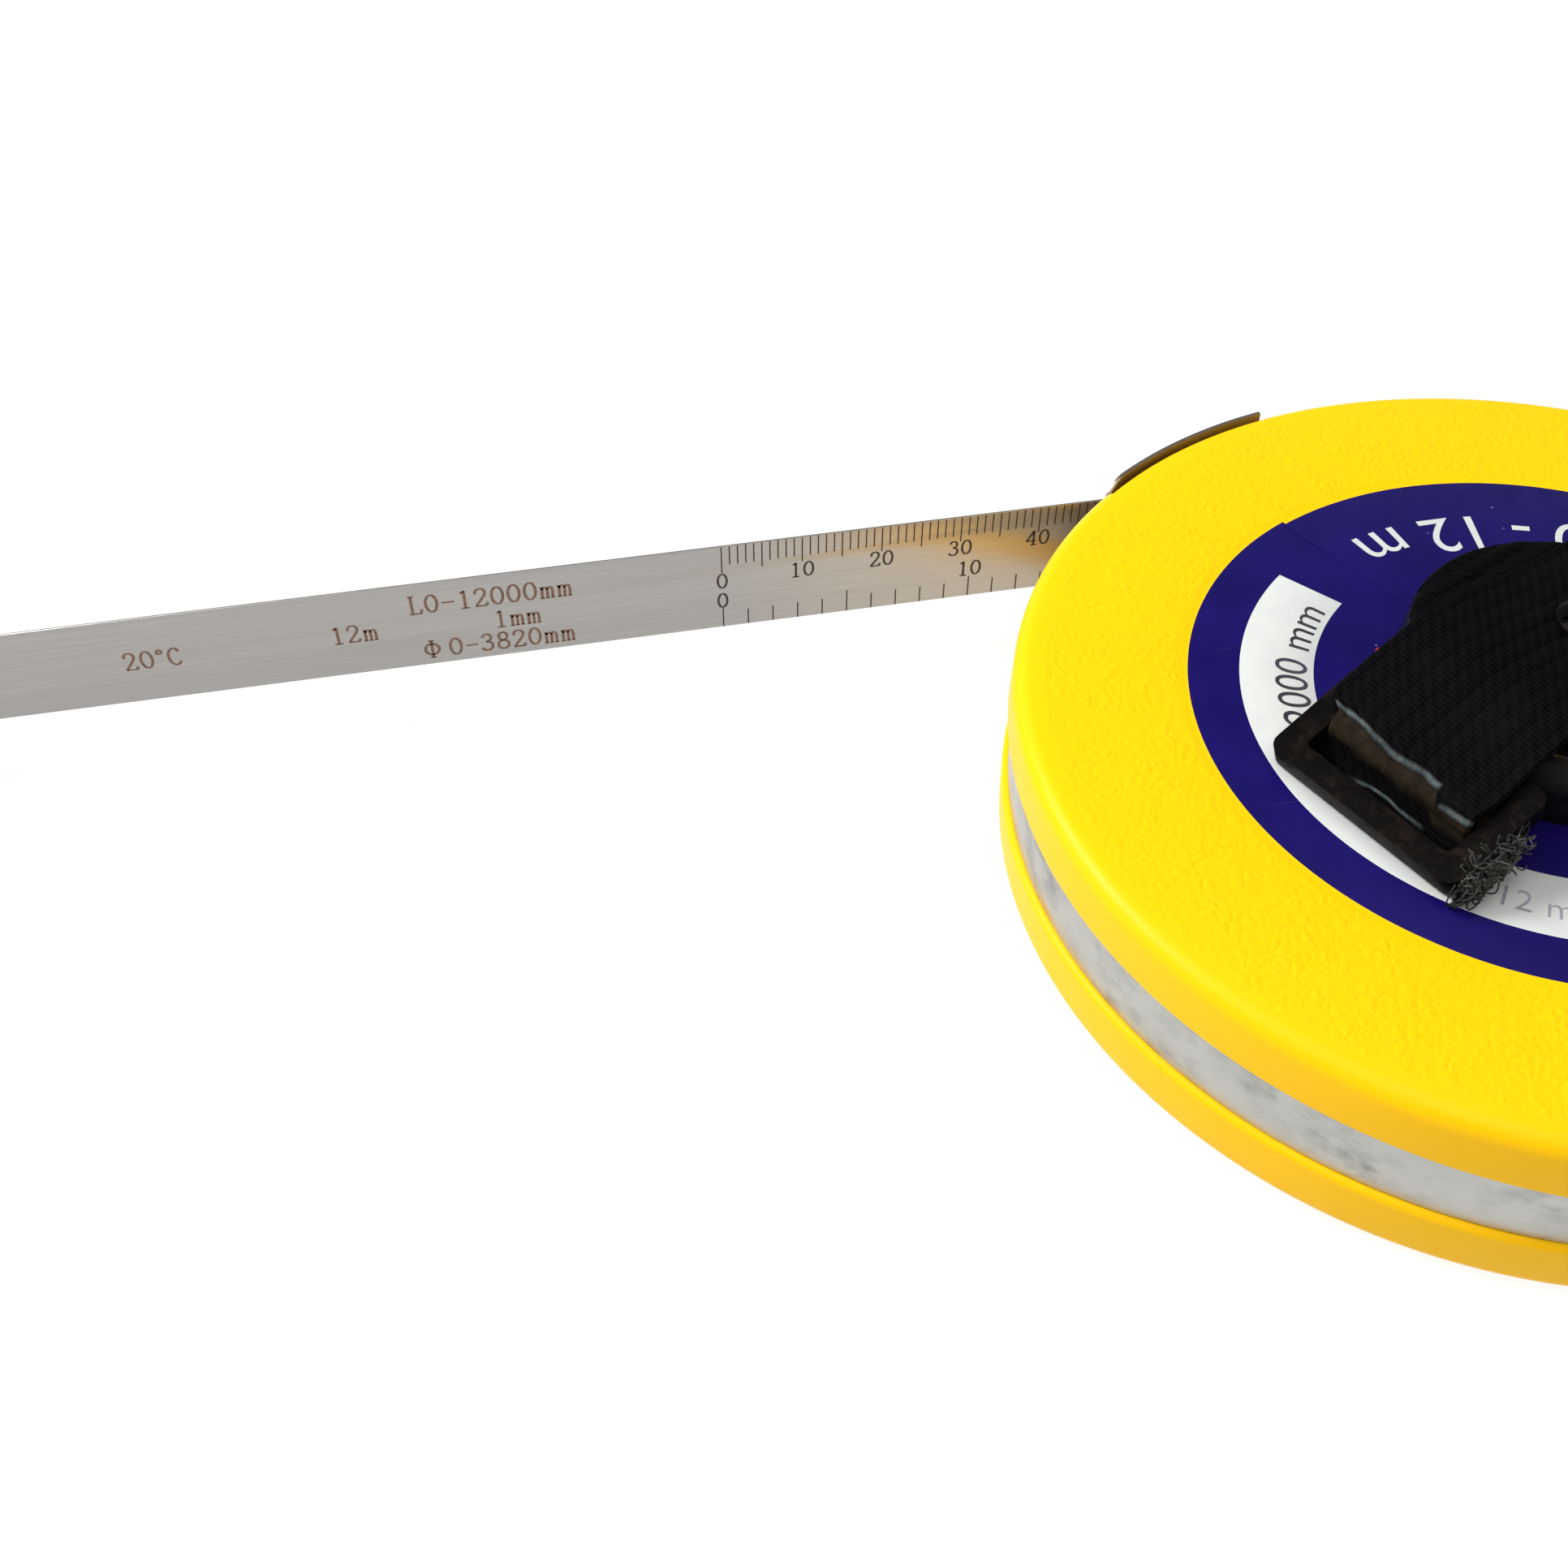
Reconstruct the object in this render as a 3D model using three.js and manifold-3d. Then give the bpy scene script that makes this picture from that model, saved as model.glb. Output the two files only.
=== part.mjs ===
// Surveyor's round tape reel: a steel diameter tape in a closed two-shell case.
// Millimetres, +Z up. The drum turns about Z, the reel lies on its crank side (z = 0),
// and the tape leaves the case towards -X.

import * as THREE from 'three';
import { mergeVertices } from 'three/addons/utils/BufferGeometryUtils.js';
import Module from 'manifold-3d';

const wasm = await Module();
wasm.setup();

// ---------------------------------------------------------------- driving dimensions

const GAP = 0.3;
const CASE_RADIUS = 57.7;
const CASE_THICKNESS = 22.5;
const CASE_WALL = 2;
const CASE_DRAFT = 0.2;
const RIM_ROUND = 1.8;
const CASE_SEGMENTS = 72;

const BAND_RADIUS = 57.1;
const BAND_HEIGHT = 7.7;
const BAND_RISE = 0.3;
const BAND_THICKNESS = 0.8;

const MOUTH_START = 102;
const MOUTH_END = 128;
const MOUTH_PLATE_RADIUS = 57.9;
const MOUTH_PLATE_THICKNESS = 0.5;
const MOUTH_SEAT_RADIUS = 56.4;
const MOUTH_SLOT_START = 117.5;
const MOUTH_SLOT_END = 122.5;
const MOUTH_CORNER = 3.5;
const MOUTH_PIN_RADIUS = 1;

const TAPE_WIDTH = 12.7;
const TAPE_THICKNESS = 0.3;
const TAPE_LINE_Y = 49.1;
const TAPE_OUTER_END_X = -190;
const TAPE_MARGIN = 0.5;

const AXLE_RADIUS = 4;
const AXLE_CAP_RADIUS = 6.2;
const AXLE_CAP_HEIGHT = 1.6;

const DRUM_CORE_RADIUS = 37.2;
const DRUM_CORE_WALL = 2.6;
const DRUM_FLANGE_RADIUS = 50;
const DRUM_FLANGE_THICKNESS = 0.8;
const DRUM_WEB = 2;
const DRUM_RIVET_CIRCLE = 20.5;
const DRUM_RIVET_ANGLES = [20, 160, 220, 320];

const DISH_RADIUS = 26;
const DISH_WALL = 1.4;
const DISH_FLOOR_Z = 5.6;
const DISH_FLOOR = 1.2;
const DISH_LIP_Z = 0.5;

const CRANK_PIVOT_Y = -18;
const CRANK_PIVOT_Z = 1.7;
const CRANK_PIN_RADIUS = 0.7;
const CRANK_CURL_RADIUS = 1.6;
const CRANK_HALF_WIDTH = 7;
const CRANK_PLATE = 1.4;
const CRANK_EYE_RADIUS = 7.2;
const CRANK_RING_RADIUS = 11.5;
const CRANK_TIP_RADIUS = 6;
const CRANK_LUG = 2;
const KNOB_Y = 15;
const KNOB_RADIUS = 5;
const KNOB_LENGTH = 9;
const KNOB_RIVET_RADIUS = 1.4;
const KNOB_RIVET_HEAD_RADIUS = 2.3;

const LABEL_RADIUS = 38.6;
const LABEL_THICKNESS = 0.25;
const LABEL_RECESS = 0.5;

const BOSS_RADIUS = 18.2;
const BOSS_TOP_RADIUS = 17.2;
const BOSS_HEIGHT = 8.8;
const STRAP_SCREW_RADIUS = 2;
const STRAP_SCREW_HEAD_RADIUS = 3.4;
const STRAP_SCREW_HEAD = 1.3;

const STRAP_ANGLE = 25;
const STRAP_WIDTH = 20;
const STRAP_THICKNESS = 0.9;

const BUCKLE_LENGTH = 24;
const BUCKLE_WIDTH = 13.6;
const BUCKLE_THICKNESS = 2.4;
const BUCKLE_TILT = 20;
const BUCKLE_OUTER_BAR = 2.6;
const BUCKLE_OUTER_SLOT = 4.2;
const BUCKLE_MIDDLE_BAR = 2.2;
const BUCKLE_INNER_SLOT = 2.6;
const BUCKLE_CENTRE = [-25.1, -4.6];
const BUCKLE_SLOT_LENGTH = 20.8;

const CASE_SCREW_CIRCLE = 52.9;
const CASE_SCREW_ANGLES = [20, 160, 220, 300];
const CASE_POST_RADIUS = 2.3;
const CASE_SCREW_RADIUS = 1.1;
const CASE_SCREW_HEAD_RADIUS = 2;

const RING_WIRE_RADIUS = 1;
const RING_LENGTH = 16;
const RING_HEIGHT = 18;
const RING_CORNER = 3.5;

// ---------------------------------------------------------------- derived dimensions

const MID_Z = CASE_THICKNESS / 2;
const LOWER_SEAM_Z = MID_Z + BAND_RISE - BAND_HEIGHT / 2;
const UPPER_SEAM_Z = LOWER_SEAM_Z + BAND_HEIGHT;
const CEILING_Z = CASE_THICKNESS - CASE_WALL;
const TAPE_BOTTOM_Z = MID_Z - TAPE_WIDTH / 2;
const TAPE_TOP_Z = MID_Z + TAPE_WIDTH / 2;
const TAPE_INNER_Y = TAPE_LINE_Y - TAPE_THICKNESS / 2;
const TAPE_OUTER_Y = TAPE_LINE_Y + TAPE_THICKNESS / 2;
const COIL_RADIUS = TAPE_INNER_Y - GAP;
const LOWER_FLANGE_TOP_Z = TAPE_BOTTOM_Z - TAPE_MARGIN;
const UPPER_FLANGE_BOTTOM_Z = TAPE_TOP_Z + TAPE_MARGIN;
const DISH_TOP_Z = DISH_FLOOR_Z + DISH_FLOOR;
const HUB_BOTTOM_Z = DISH_TOP_Z + GAP;
const HUB_TOP_Z = UPPER_FLANGE_BOTTOM_Z - GAP;
const PLATE_BOTTOM_Z = 2 * CRANK_PIVOT_Z + GAP;
const PLATE_TOP_Z = PLATE_BOTTOM_Z + CRANK_PLATE;
const KNOB_BOTTOM_Z = PLATE_TOP_Z + GAP;
const RECESS_Z = CASE_THICKNESS - LABEL_RECESS;
const BOSS_BOTTOM_Z = RECESS_Z + GAP;
const BOSS_TOP_Z = BOSS_BOTTOM_Z + BOSS_HEIGHT;
const SHELL_HOLE_RADIUS = AXLE_RADIUS + GAP;
const RING_AXIS_X = TAPE_OUTER_END_X - 6;

const COLOURS = {
  yellowPlastic: { color: 0xf7cf12, roughness: 0.42, metalness: 0 },
  satinSteel: { color: 0xb9b8b0, roughness: 0.35, metalness: 1 },
  polishedSteel: { color: 0xc9c8c4, roughness: 0.22, metalness: 1 },
  tapeSteel: { color: 0xaea69d, roughness: 0.38, metalness: 1 },
  blueLabel: { color: 0x231a66, roughness: 0.45, metalness: 0 },
  blackPlastic: { color: 0x0c0c0d, roughness: 0.18, metalness: 0 },
  mattBlackPlastic: { color: 0x141415, roughness: 0.5, metalness: 0 },
  blackWebbing: { color: 0x121213, roughness: 0.9, metalness: 0 },
  greyPlastic: { color: 0x55585c, roughness: 0.5, metalness: 0 },
};

// ---------------------------------------------------------------- shape helpers

const radians = THREE.MathUtils.degToRad;

function polar(radius, degrees) {
  return new THREE.Vector2(radius * Math.cos(radians(degrees)), radius * Math.sin(radians(degrees)));
}

// A geometry as a manifold solid, with shared vertices merged and slivers on an axis dropped.
function toSolid(geometry) {
  const bare = geometry.clone();
  bare.deleteAttribute('normal');
  bare.deleteAttribute('uv');
  const merged = mergeVertices(bare, 1e-4);
  const triangles = [];
  for (let i = 0; i < merged.index.count; i += 3) {
    const [a, b, c] = [0, 1, 2].map((step) => merged.index.getX(i + step));
    if (a !== b && b !== c && c !== a) {
      triangles.push(a, b, c);
    }
  }
  const mesh = new wasm.Mesh({
    numProp: 3,
    vertProperties: new Float32Array(merged.attributes.position.array),
    triVerts: new Uint32Array(triangles),
  });
  return new wasm.Manifold(mesh);
}

function toGeometry(solid) {
  const mesh = solid.getMesh();
  const geometry = new THREE.BufferGeometry();
  geometry.setAttribute('position', new THREE.BufferAttribute(mesh.vertProperties, 3));
  geometry.setIndex(new THREE.BufferAttribute(mesh.triVerts, 1));
  geometry.computeVertexNormals();
  return geometry;
}

// Solid of revolution about Z. The profile is a closed loop of [radius, z] pairs.
function turned(profile, segments = 48) {
  const points = profile.map(([radius, z]) => new THREE.Vector2(radius, z));
  if (THREE.ShapeUtils.area(points) < 0) {
    points.reverse();
  }
  points.push(points[0].clone());
  return toSolid(new THREE.LatheGeometry(points, segments).rotateX(Math.PI / 2));
}

function tube(inner, outer, bottom, top, segments = 48) {
  return turned([[inner, bottom], [outer, bottom], [outer, top], [inner, top]], segments);
}

function disc(radius, bottom, top, segments = 32) {
  const geometry = new THREE.CylinderGeometry(radius, radius, top - bottom, segments);
  return toSolid(geometry.rotateX(Math.PI / 2).translate(0, 0, (top + bottom) / 2));
}

function rod(radius, length, segments = 20) {
  return toSolid(new THREE.CylinderGeometry(radius, radius, length, segments).rotateZ(Math.PI / 2));
}

function block([x0, y0, z0], [x1, y1, z1]) {
  const geometry = new THREE.BoxGeometry(x1 - x0, y1 - y0, z1 - z0);
  return toSolid(geometry.translate((x0 + x1) / 2, (y0 + y1) / 2, (z0 + z1) / 2));
}

function plate(shape, bottom, top, curveSegments = 12) {
  const settings = { depth: top - bottom, bevelEnabled: false, curveSegments };
  return toSolid(new THREE.ExtrudeGeometry(shape, settings).translate(0, 0, bottom));
}

function sector(inner, outer, startDegrees, endDegrees, bottom, top) {
  const shape = new THREE.Shape();
  const [start, end] = [radians(startDegrees), radians(endDegrees)];
  const segments = Math.max(3, Math.round(CASE_SEGMENTS * (end - start) / (4 * Math.PI)));
  shape.absarc(0, 0, outer, start, end, false);
  shape.absarc(0, 0, inner, end, start, true);
  return plate(shape, bottom, top, segments);
}

function roundedRectangle(length, width, radius, Path = THREE.Shape, x = 0, y = 0) {
  const [dx, dy] = [length / 2 - radius, width / 2 - radius];
  const path = new Path();
  path.absarc(x + dx, y - dy, radius, -Math.PI / 2, 0, false);
  path.absarc(x + dx, y + dy, radius, 0, Math.PI / 2, false);
  path.absarc(x - dx, y + dy, radius, Math.PI / 2, Math.PI, false);
  path.absarc(x - dx, y - dy, radius, Math.PI, 1.5 * Math.PI, false);
  path.closePath();
  return path;
}

function quarterRound(radius, z, round, up) {
  const steps = 3;
  return Array.from({ length: steps + 1 }, (_, i) => {
    const angle = (i / steps) * Math.PI / 2;
    return [radius - round + round * Math.sin(angle), z + up * round * (Math.cos(angle) - 1)];
  });
}

const reel = new THREE.Group();

function addNode(name, geometry, look) {
  const mesh = new THREE.Mesh(geometry, new THREE.MeshStandardMaterial(COLOURS[look]));
  mesh.name = name;
  reel.add(mesh);
  return mesh;
}

function addSolid(name, solid, look) {
  return addNode(name, toGeometry(solid), look);
}

// ---------------------------------------------------------------- case shells and rim

// Shell profile from the face to the seam; up is +1 for the upper shell and -1 for the lower one.
function shellProfile(faceZ, seamZ, up, holeRadius) {
  const rimRadius = CASE_RADIUS - CASE_DRAFT;
  return [
    [holeRadius, faceZ],
    ...quarterRound(rimRadius, faceZ, RIM_ROUND, up),
    [CASE_RADIUS, seamZ],
    [CASE_RADIUS - CASE_WALL, seamZ],
    [CASE_RADIUS - CASE_WALL, faceZ - up * CASE_WALL],
    [holeRadius, faceZ - up * CASE_WALL],
  ];
}

// What both shells give up so that the mouth plate and the running tape have room.
function cutMouth(shell) {
  const [start, end] = [MOUTH_START - 0.4, MOUTH_END + 0.4];
  const seat = sector(MOUTH_SEAT_RADIUS, CASE_RADIUS + 1, start, end, -1, CASE_THICKNESS + 1);
  const tapeWay = block(
    [-45, TAPE_INNER_Y - 1.2, TAPE_BOTTOM_Z - TAPE_MARGIN],
    [-15, TAPE_OUTER_Y + 1.2, TAPE_TOP_Z + TAPE_MARGIN],
  );
  return shell.subtract(seat).subtract(tapeWay);
}

function screwPost(degrees) {
  const { x, y } = polar(CASE_SCREW_CIRCLE, degrees);
  const body = disc(CASE_POST_RADIUS, CASE_WALL + GAP, CEILING_Z + 0.5, 16);
  const bore = disc(CASE_SCREW_RADIUS + GAP, 0, 12, 12);
  return body.subtract(bore).translate([x, y, 0]);
}

function makeTopShell() {
  const profile = shellProfile(CASE_THICKNESS, UPPER_SEAM_Z + GAP / 2, 1, SHELL_HOLE_RADIUS);
  let shell = turned(profile, CASE_SEGMENTS);
  shell = shell.subtract(disc(LABEL_RADIUS + GAP, RECESS_Z, CASE_THICKNESS + 1, 60));
  for (const degrees of CASE_SCREW_ANGLES) {
    shell = shell.add(screwPost(degrees));
  }
  return cutMouth(shell);
}

function makeBottomShell() {
  const profile = shellProfile(0, LOWER_SEAM_Z - GAP / 2, -1, DISH_RADIUS + 0.5);
  let shell = turned(profile, CASE_SEGMENTS);
  for (const degrees of CASE_SCREW_ANGLES) {
    const { x, y } = polar(CASE_SCREW_CIRCLE, degrees);
    const counterbore = disc(CASE_SCREW_HEAD_RADIUS + GAP, -1, 1.4, 16);
    const hole = disc(CASE_SCREW_RADIUS + GAP, 0, 3, 12);
    shell = shell.subtract(counterbore.add(hole).translate([x, y, 0]));
  }
  return cutMouth(shell);
}

function makeRimBand() {
  const [start, end] = [MOUTH_END + 0.5, MOUTH_START + 360 - 0.5];
  const [bottom, top] = [LOWER_SEAM_Z + GAP / 2, UPPER_SEAM_Z - GAP / 2];
  return sector(BAND_RADIUS - BAND_THICKNESS, BAND_RADIUS, start, end, bottom, top);
}

// The plate is flat where it is drawn and curved by its own cylinder: a sector of the rim,
// trimmed at its tape end by a rounded outline and pierced by the tape slot.
function makeMouthPlate() {
  const [bottom, top] = [GAP, CASE_THICKNESS];
  const inner = MOUTH_PLATE_RADIUS - MOUTH_PLATE_THICKNESS;
  const slotSides = [TAPE_BOTTOM_Z - TAPE_MARGIN, TAPE_TOP_Z + TAPE_MARGIN];
  let mouth = sector(inner, MOUTH_PLATE_RADIUS, MOUTH_START, MOUTH_END, bottom, top);
  mouth = mouth.subtract(sector(50, 60, MOUTH_SLOT_START, MOUTH_SLOT_END, ...slotSides));
  for (const [cornerZ, up] of [[bottom, 1], [top, -1]]) {
    const reach = THREE.MathUtils.radToDeg(MOUTH_CORNER / MOUTH_PLATE_RADIUS);
    const steps = 5;
    for (let i = 0; i < steps; i += 1) {
      const share = (i + 0.5) / steps;
      const drop = MOUTH_CORNER * (1 - Math.sqrt(1 - share * share));
      const start = MOUTH_END - reach * (1 - i / steps);
      const edge = cornerZ + up * drop;
      const [low, high] = up > 0 ? [bottom - 1, edge] : [edge, top + 1];
      mouth = mouth.subtract(sector(50, 60, start, MOUTH_END + 1, low, high));
    }
  }
  return mouth;
}

function mouthPin(x, y) {
  return disc(MOUTH_PIN_RADIUS, CASE_WALL + GAP, CEILING_Z - GAP, 16).translate([x, y, 0]);
}

function addCase() {
  addSolid('top_shell', makeTopShell(), 'yellowPlastic');
  addSolid('bottom_shell', makeBottomShell(), 'yellowPlastic');
  addSolid('rim_band', makeRimBand(), 'satinSteel');
  addSolid('mouth_plate', makeMouthPlate(), 'satinSteel');
  const pinOffset = MOUTH_PIN_RADIUS + GAP;
  addSolid('mouth_pin_outer', mouthPin(-17, TAPE_OUTER_Y + pinOffset), 'polishedSteel');
  addSolid('mouth_pin_inner', mouthPin(-25, TAPE_INNER_Y - pinOffset), 'polishedSteel');
  const label = tube(BOSS_RADIUS + GAP, LABEL_RADIUS, BOSS_BOTTOM_Z, BOSS_BOTTOM_Z + LABEL_THICKNESS, 60);
  addSolid('front_label', label, 'blueLabel');
}

function makeCaseScrew() {
  const head = disc(CASE_SCREW_HEAD_RADIUS, 0.2, 1.1, 16);
  const shank = disc(CASE_SCREW_RADIUS, 0.9, 11, 12);
  const slotA = block([-1.4, -0.25, -1], [1.4, 0.25, 0.7]);
  const slotB = block([-0.25, -1.4, -1], [0.25, 1.4, 0.7]);
  return head.add(shank).subtract(slotA).subtract(slotB);
}

function addCaseScrews() {
  const screw = makeCaseScrew();
  CASE_SCREW_ANGLES.forEach((degrees, index) => {
    const { x, y } = polar(CASE_SCREW_CIRCLE, degrees);
    addSolid(`case_screw_${index + 1}`, screw, 'polishedSteel').position.set(x, y, 0);
  });
}

// ---------------------------------------------------------------- axle and strap boss

function makeAxle() {
  const top = BOSS_TOP_Z - 2;
  const shoulder = [UPPER_FLANGE_BOTTOM_Z + DRUM_FLANGE_THICKNESS + GAP, CEILING_Z - GAP];
  const body = turned([
    [0, 0],
    [AXLE_CAP_RADIUS, 0],
    [AXLE_CAP_RADIUS, AXLE_CAP_HEIGHT],
    [AXLE_RADIUS, AXLE_CAP_HEIGHT],
    [AXLE_RADIUS, shoulder[0]],
    [AXLE_CAP_RADIUS, shoulder[0]],
    [AXLE_CAP_RADIUS, shoulder[1]],
    [AXLE_RADIUS, shoulder[1]],
    [AXLE_RADIUS, top],
    [STRAP_SCREW_RADIUS + GAP, top],
    [STRAP_SCREW_RADIUS + GAP, top - 11],
    [0, top - 11],
  ], 24);
  const spannerHole = disc(0.8, -1, 0.8, 12);
  return body
    .subtract(spannerHole.translate([3.8, 0, 0]))
    .subtract(spannerHole.translate([-3.8, 0, 0]));
}

function makeBoss() {
  return turned([
    [STRAP_SCREW_RADIUS + GAP, BOSS_TOP_Z],
    [BOSS_TOP_RADIUS - 1, BOSS_TOP_Z],
    [BOSS_TOP_RADIUS - 0.3, BOSS_TOP_Z - 0.3],
    [BOSS_TOP_RADIUS, BOSS_TOP_Z - 1],
    [BOSS_RADIUS, BOSS_BOTTOM_Z],
    [AXLE_RADIUS + GAP, BOSS_BOTTOM_Z],
    [AXLE_RADIUS + GAP, BOSS_TOP_Z - 2 + GAP],
    [STRAP_SCREW_RADIUS + GAP, BOSS_TOP_Z - 2 + GAP],
  ], 36);
}

// ---------------------------------------------------------------- webbing strap and buckle

const LOWER_LAYER = STRAP_THICKNESS / 2 + GAP;
const UPPER_LAYER = LOWER_LAYER + STRAP_THICKNESS + GAP;

// Middle line of the webbing in its own upright plane: [distance along the strap, height
// above the boss top]. It starts under the strap screw, folds at the hand end and comes back
// over the boss.
const STRAP_LOOP = [
  [-13, LOWER_LAYER],
  [0, LOWER_LAYER],
  [16.6, LOWER_LAYER],
  [24, -1.6],
  [34, -4.6],
  [48, -6.4],
  [62, -6.5],
  [72, -5.9],
  [78.5, -5.2],
  [81.4, -3.6],
  [79, -1.6],
  [72, -1.9],
  [60, -2.9],
  [48, -2.4],
  [34, -0.3],
  [24, 1.4],
  [15, UPPER_LAYER],
  [0, UPPER_LAYER],
  [-13.4, UPPER_LAYER],
];

// Its way through the three-bar buckle, in the buckle's own tilted plane: over the inner and
// middle bars, down through the outer slot and back under the middle bar.
const BUCKLE_WEAVE = [
  [7, 2.3],
  [4, 2.15],
  [1.6, 2.25],
  [0, 2.2],
  [-1, 1.4],
  [-1.2, 0.2],
  [-1.9, -1],
  [-2.5, -1.9],
  [-1.7, -2.5],
  [0.2, -2.65],
  [4.6, -2.75],
];

function buckleToStrap([across, normal]) {
  const tilt = radians(BUCKLE_TILT);
  return [
    BUCKLE_CENTRE[0] + across * Math.cos(tilt) - normal * Math.sin(tilt),
    BUCKLE_CENTRE[1] + across * Math.sin(tilt) + normal * Math.cos(tilt),
  ];
}

function strapSteps(route) {
  const line = new THREE.CatmullRomCurve3(route.map(([along, up]) => new THREE.Vector3(along, up, 0)));
  const steps = 2 * (route.length - 1);
  return Array.from({ length: steps + 1 }, (_, i) => ({
    middle: line.getPoint(i / steps),
    tangent: line.getTangent(i / steps),
  }));
}

// The ribbon is drawn from the side, by its two faces, and extruded across its width.
function makeStrap() {
  const half = STRAP_THICKNESS / 2;
  const steps = strapSteps([...STRAP_LOOP, ...BUCKLE_WEAVE.map(buckleToStrap)]);
  const side = (sign) => steps.map(({ middle, tangent }) => new THREE.Vector2(
    middle.x - sign * half * tangent.y,
    middle.y + sign * half * tangent.x,
  ));
  const outline = [...side(1), ...side(-1).reverse()];
  const settings = { depth: STRAP_WIDTH, bevelEnabled: false };
  const ribbon = new THREE.ExtrudeGeometry(new THREE.Shape(outline), settings);
  ribbon.translate(0, 0, -STRAP_WIDTH / 2).rotateX(Math.PI / 2);
  const hole = disc(STRAP_SCREW_RADIUS + GAP, -1, 6, 20);
  return toSolid(ribbon).subtract(hole);
}

function makeBuckle() {
  const frame = roundedRectangle(BUCKLE_WIDTH, BUCKLE_LENGTH, 2);
  const outerSlotX = -BUCKLE_WIDTH / 2 + BUCKLE_OUTER_BAR + BUCKLE_OUTER_SLOT / 2;
  const betweenSlots = (BUCKLE_OUTER_SLOT + BUCKLE_INNER_SLOT) / 2 + BUCKLE_MIDDLE_BAR;
  const slots = [
    [BUCKLE_OUTER_SLOT, outerSlotX],
    [BUCKLE_INNER_SLOT, outerSlotX + betweenSlots],
  ];
  for (const [width, x] of slots) {
    frame.holes.push(roundedRectangle(width, BUCKLE_SLOT_LENGTH, 0.8, THREE.Path, x));
  }
  return plate(frame, -BUCKLE_THICKNESS / 2, BUCKLE_THICKNESS / 2, 4);
}

function addStrap() {
  addSolid('axle', makeAxle(), 'polishedSteel');
  addSolid('strap_boss', makeBoss(), 'blackPlastic');
  const strapGroup = new THREE.Group();
  strapGroup.position.z = BOSS_TOP_Z;
  strapGroup.rotation.z = radians(STRAP_ANGLE);
  reel.add(strapGroup);
  strapGroup.add(addSolid('strap', makeStrap(), 'blackWebbing'));
  const buckle = addSolid('buckle', makeBuckle(), 'mattBlackPlastic');
  buckle.position.set(BUCKLE_CENTRE[0], 0, BUCKLE_CENTRE[1]);
  buckle.rotation.y = -radians(BUCKLE_TILT);
  strapGroup.add(buckle);
  const seat = UPPER_LAYER + STRAP_THICKNESS / 2 + GAP;
  const screwHead = turned([
    [0, seat],
    [STRAP_SCREW_HEAD_RADIUS, seat],
    [STRAP_SCREW_HEAD_RADIUS, seat + 0.6],
    [STRAP_SCREW_HEAD_RADIUS - 0.8, seat + STRAP_SCREW_HEAD],
    [0, seat + STRAP_SCREW_HEAD],
  ], 32);
  const shank = disc(STRAP_SCREW_RADIUS, -11, seat + 0.3, 20);
  const slot = block([-5, -0.4, seat + 0.7], [5, 0.4, seat + 3]);
  const screw = addSolid('strap_screw', screwHead.add(shank).subtract(slot), 'polishedSteel');
  screw.position.z = BOSS_TOP_Z;
}

// ---------------------------------------------------------------- drum and tape coil

function makeHub() {
  const webBottom = HUB_TOP_Z - DRUM_WEB;
  const sleeveRadius = SHELL_HOLE_RADIUS + 3.5;
  const innerWall = DRUM_CORE_RADIUS - DRUM_CORE_WALL;
  let hub = turned([
    [SHELL_HOLE_RADIUS, HUB_BOTTOM_Z],
    [sleeveRadius, HUB_BOTTOM_Z],
    [sleeveRadius, webBottom],
    [innerWall, webBottom],
    [innerWall, LOWER_FLANGE_TOP_Z + GAP],
    [DRUM_CORE_RADIUS, LOWER_FLANGE_TOP_Z + GAP],
    [DRUM_CORE_RADIUS, HUB_TOP_Z],
    [SHELL_HOLE_RADIUS, HUB_TOP_Z],
  ], 32);
  for (const degrees of DRUM_RIVET_ANGLES) {
    const { x, y } = polar(DRUM_RIVET_CIRCLE, degrees);
    const post = disc(2.8, HUB_BOTTOM_Z, webBottom + 0.5, 16).subtract(disc(1.5, 0, 13, 12));
    hub = hub.add(post.translate([x, y, 0]));
  }
  const anchorSeat = block(
    [-DRUM_CORE_RADIUS - 1, -2.3, TAPE_BOTTOM_Z - GAP],
    [-DRUM_CORE_RADIUS + 1.5, 2.3, TAPE_TOP_Z - 2 + GAP],
  );
  return hub.subtract(anchorSeat);
}

function makeDish() {
  let dish = turned([
    [DISH_RADIUS - DISH_WALL, DISH_LIP_Z],
    [DISH_RADIUS, DISH_LIP_Z],
    [DISH_RADIUS, DISH_TOP_Z],
    [SHELL_HOLE_RADIUS, DISH_TOP_Z],
    [SHELL_HOLE_RADIUS, DISH_FLOOR_Z],
    [DISH_RADIUS - DISH_WALL, DISH_FLOOR_Z],
  ], 40);
  for (const side of [-1, 1]) {
    const inner = CRANK_HALF_WIDTH + GAP;
    const [x0, x1] = [side * inner, side * (inner + CRANK_LUG)].sort((a, b) => a - b);
    const low = [x0, CRANK_PIVOT_Y - 2, 0.3];
    const high = [x1, CRANK_PIVOT_Y + 2, DISH_FLOOR_Z + 0.2];
    dish = dish.add(block(low, high));
  }
  const pinBore = rod(CRANK_PIN_RADIUS + GAP, 40, 12).translate([0, CRANK_PIVOT_Y, CRANK_PIVOT_Z]);
  const knobHole = new THREE.Shape();
  const [reach, stretch] = [KNOB_RADIUS + 0.8, 1.8];
  knobHole.absarc(0, KNOB_Y + stretch, reach, 0, Math.PI, false);
  knobHole.absarc(0, KNOB_Y, reach, Math.PI, 2 * Math.PI, false);
  dish = dish.subtract(pinBore).subtract(plate(knobHole, DISH_FLOOR_Z - 1, DISH_TOP_Z + 1));
  for (const degrees of DRUM_RIVET_ANGLES) {
    const { x, y } = polar(DRUM_RIVET_CIRCLE, degrees);
    dish = dish.subtract(disc(1.5, 0, 10, 12).translate([x, y, 0]));
  }
  return dish;
}

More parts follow.
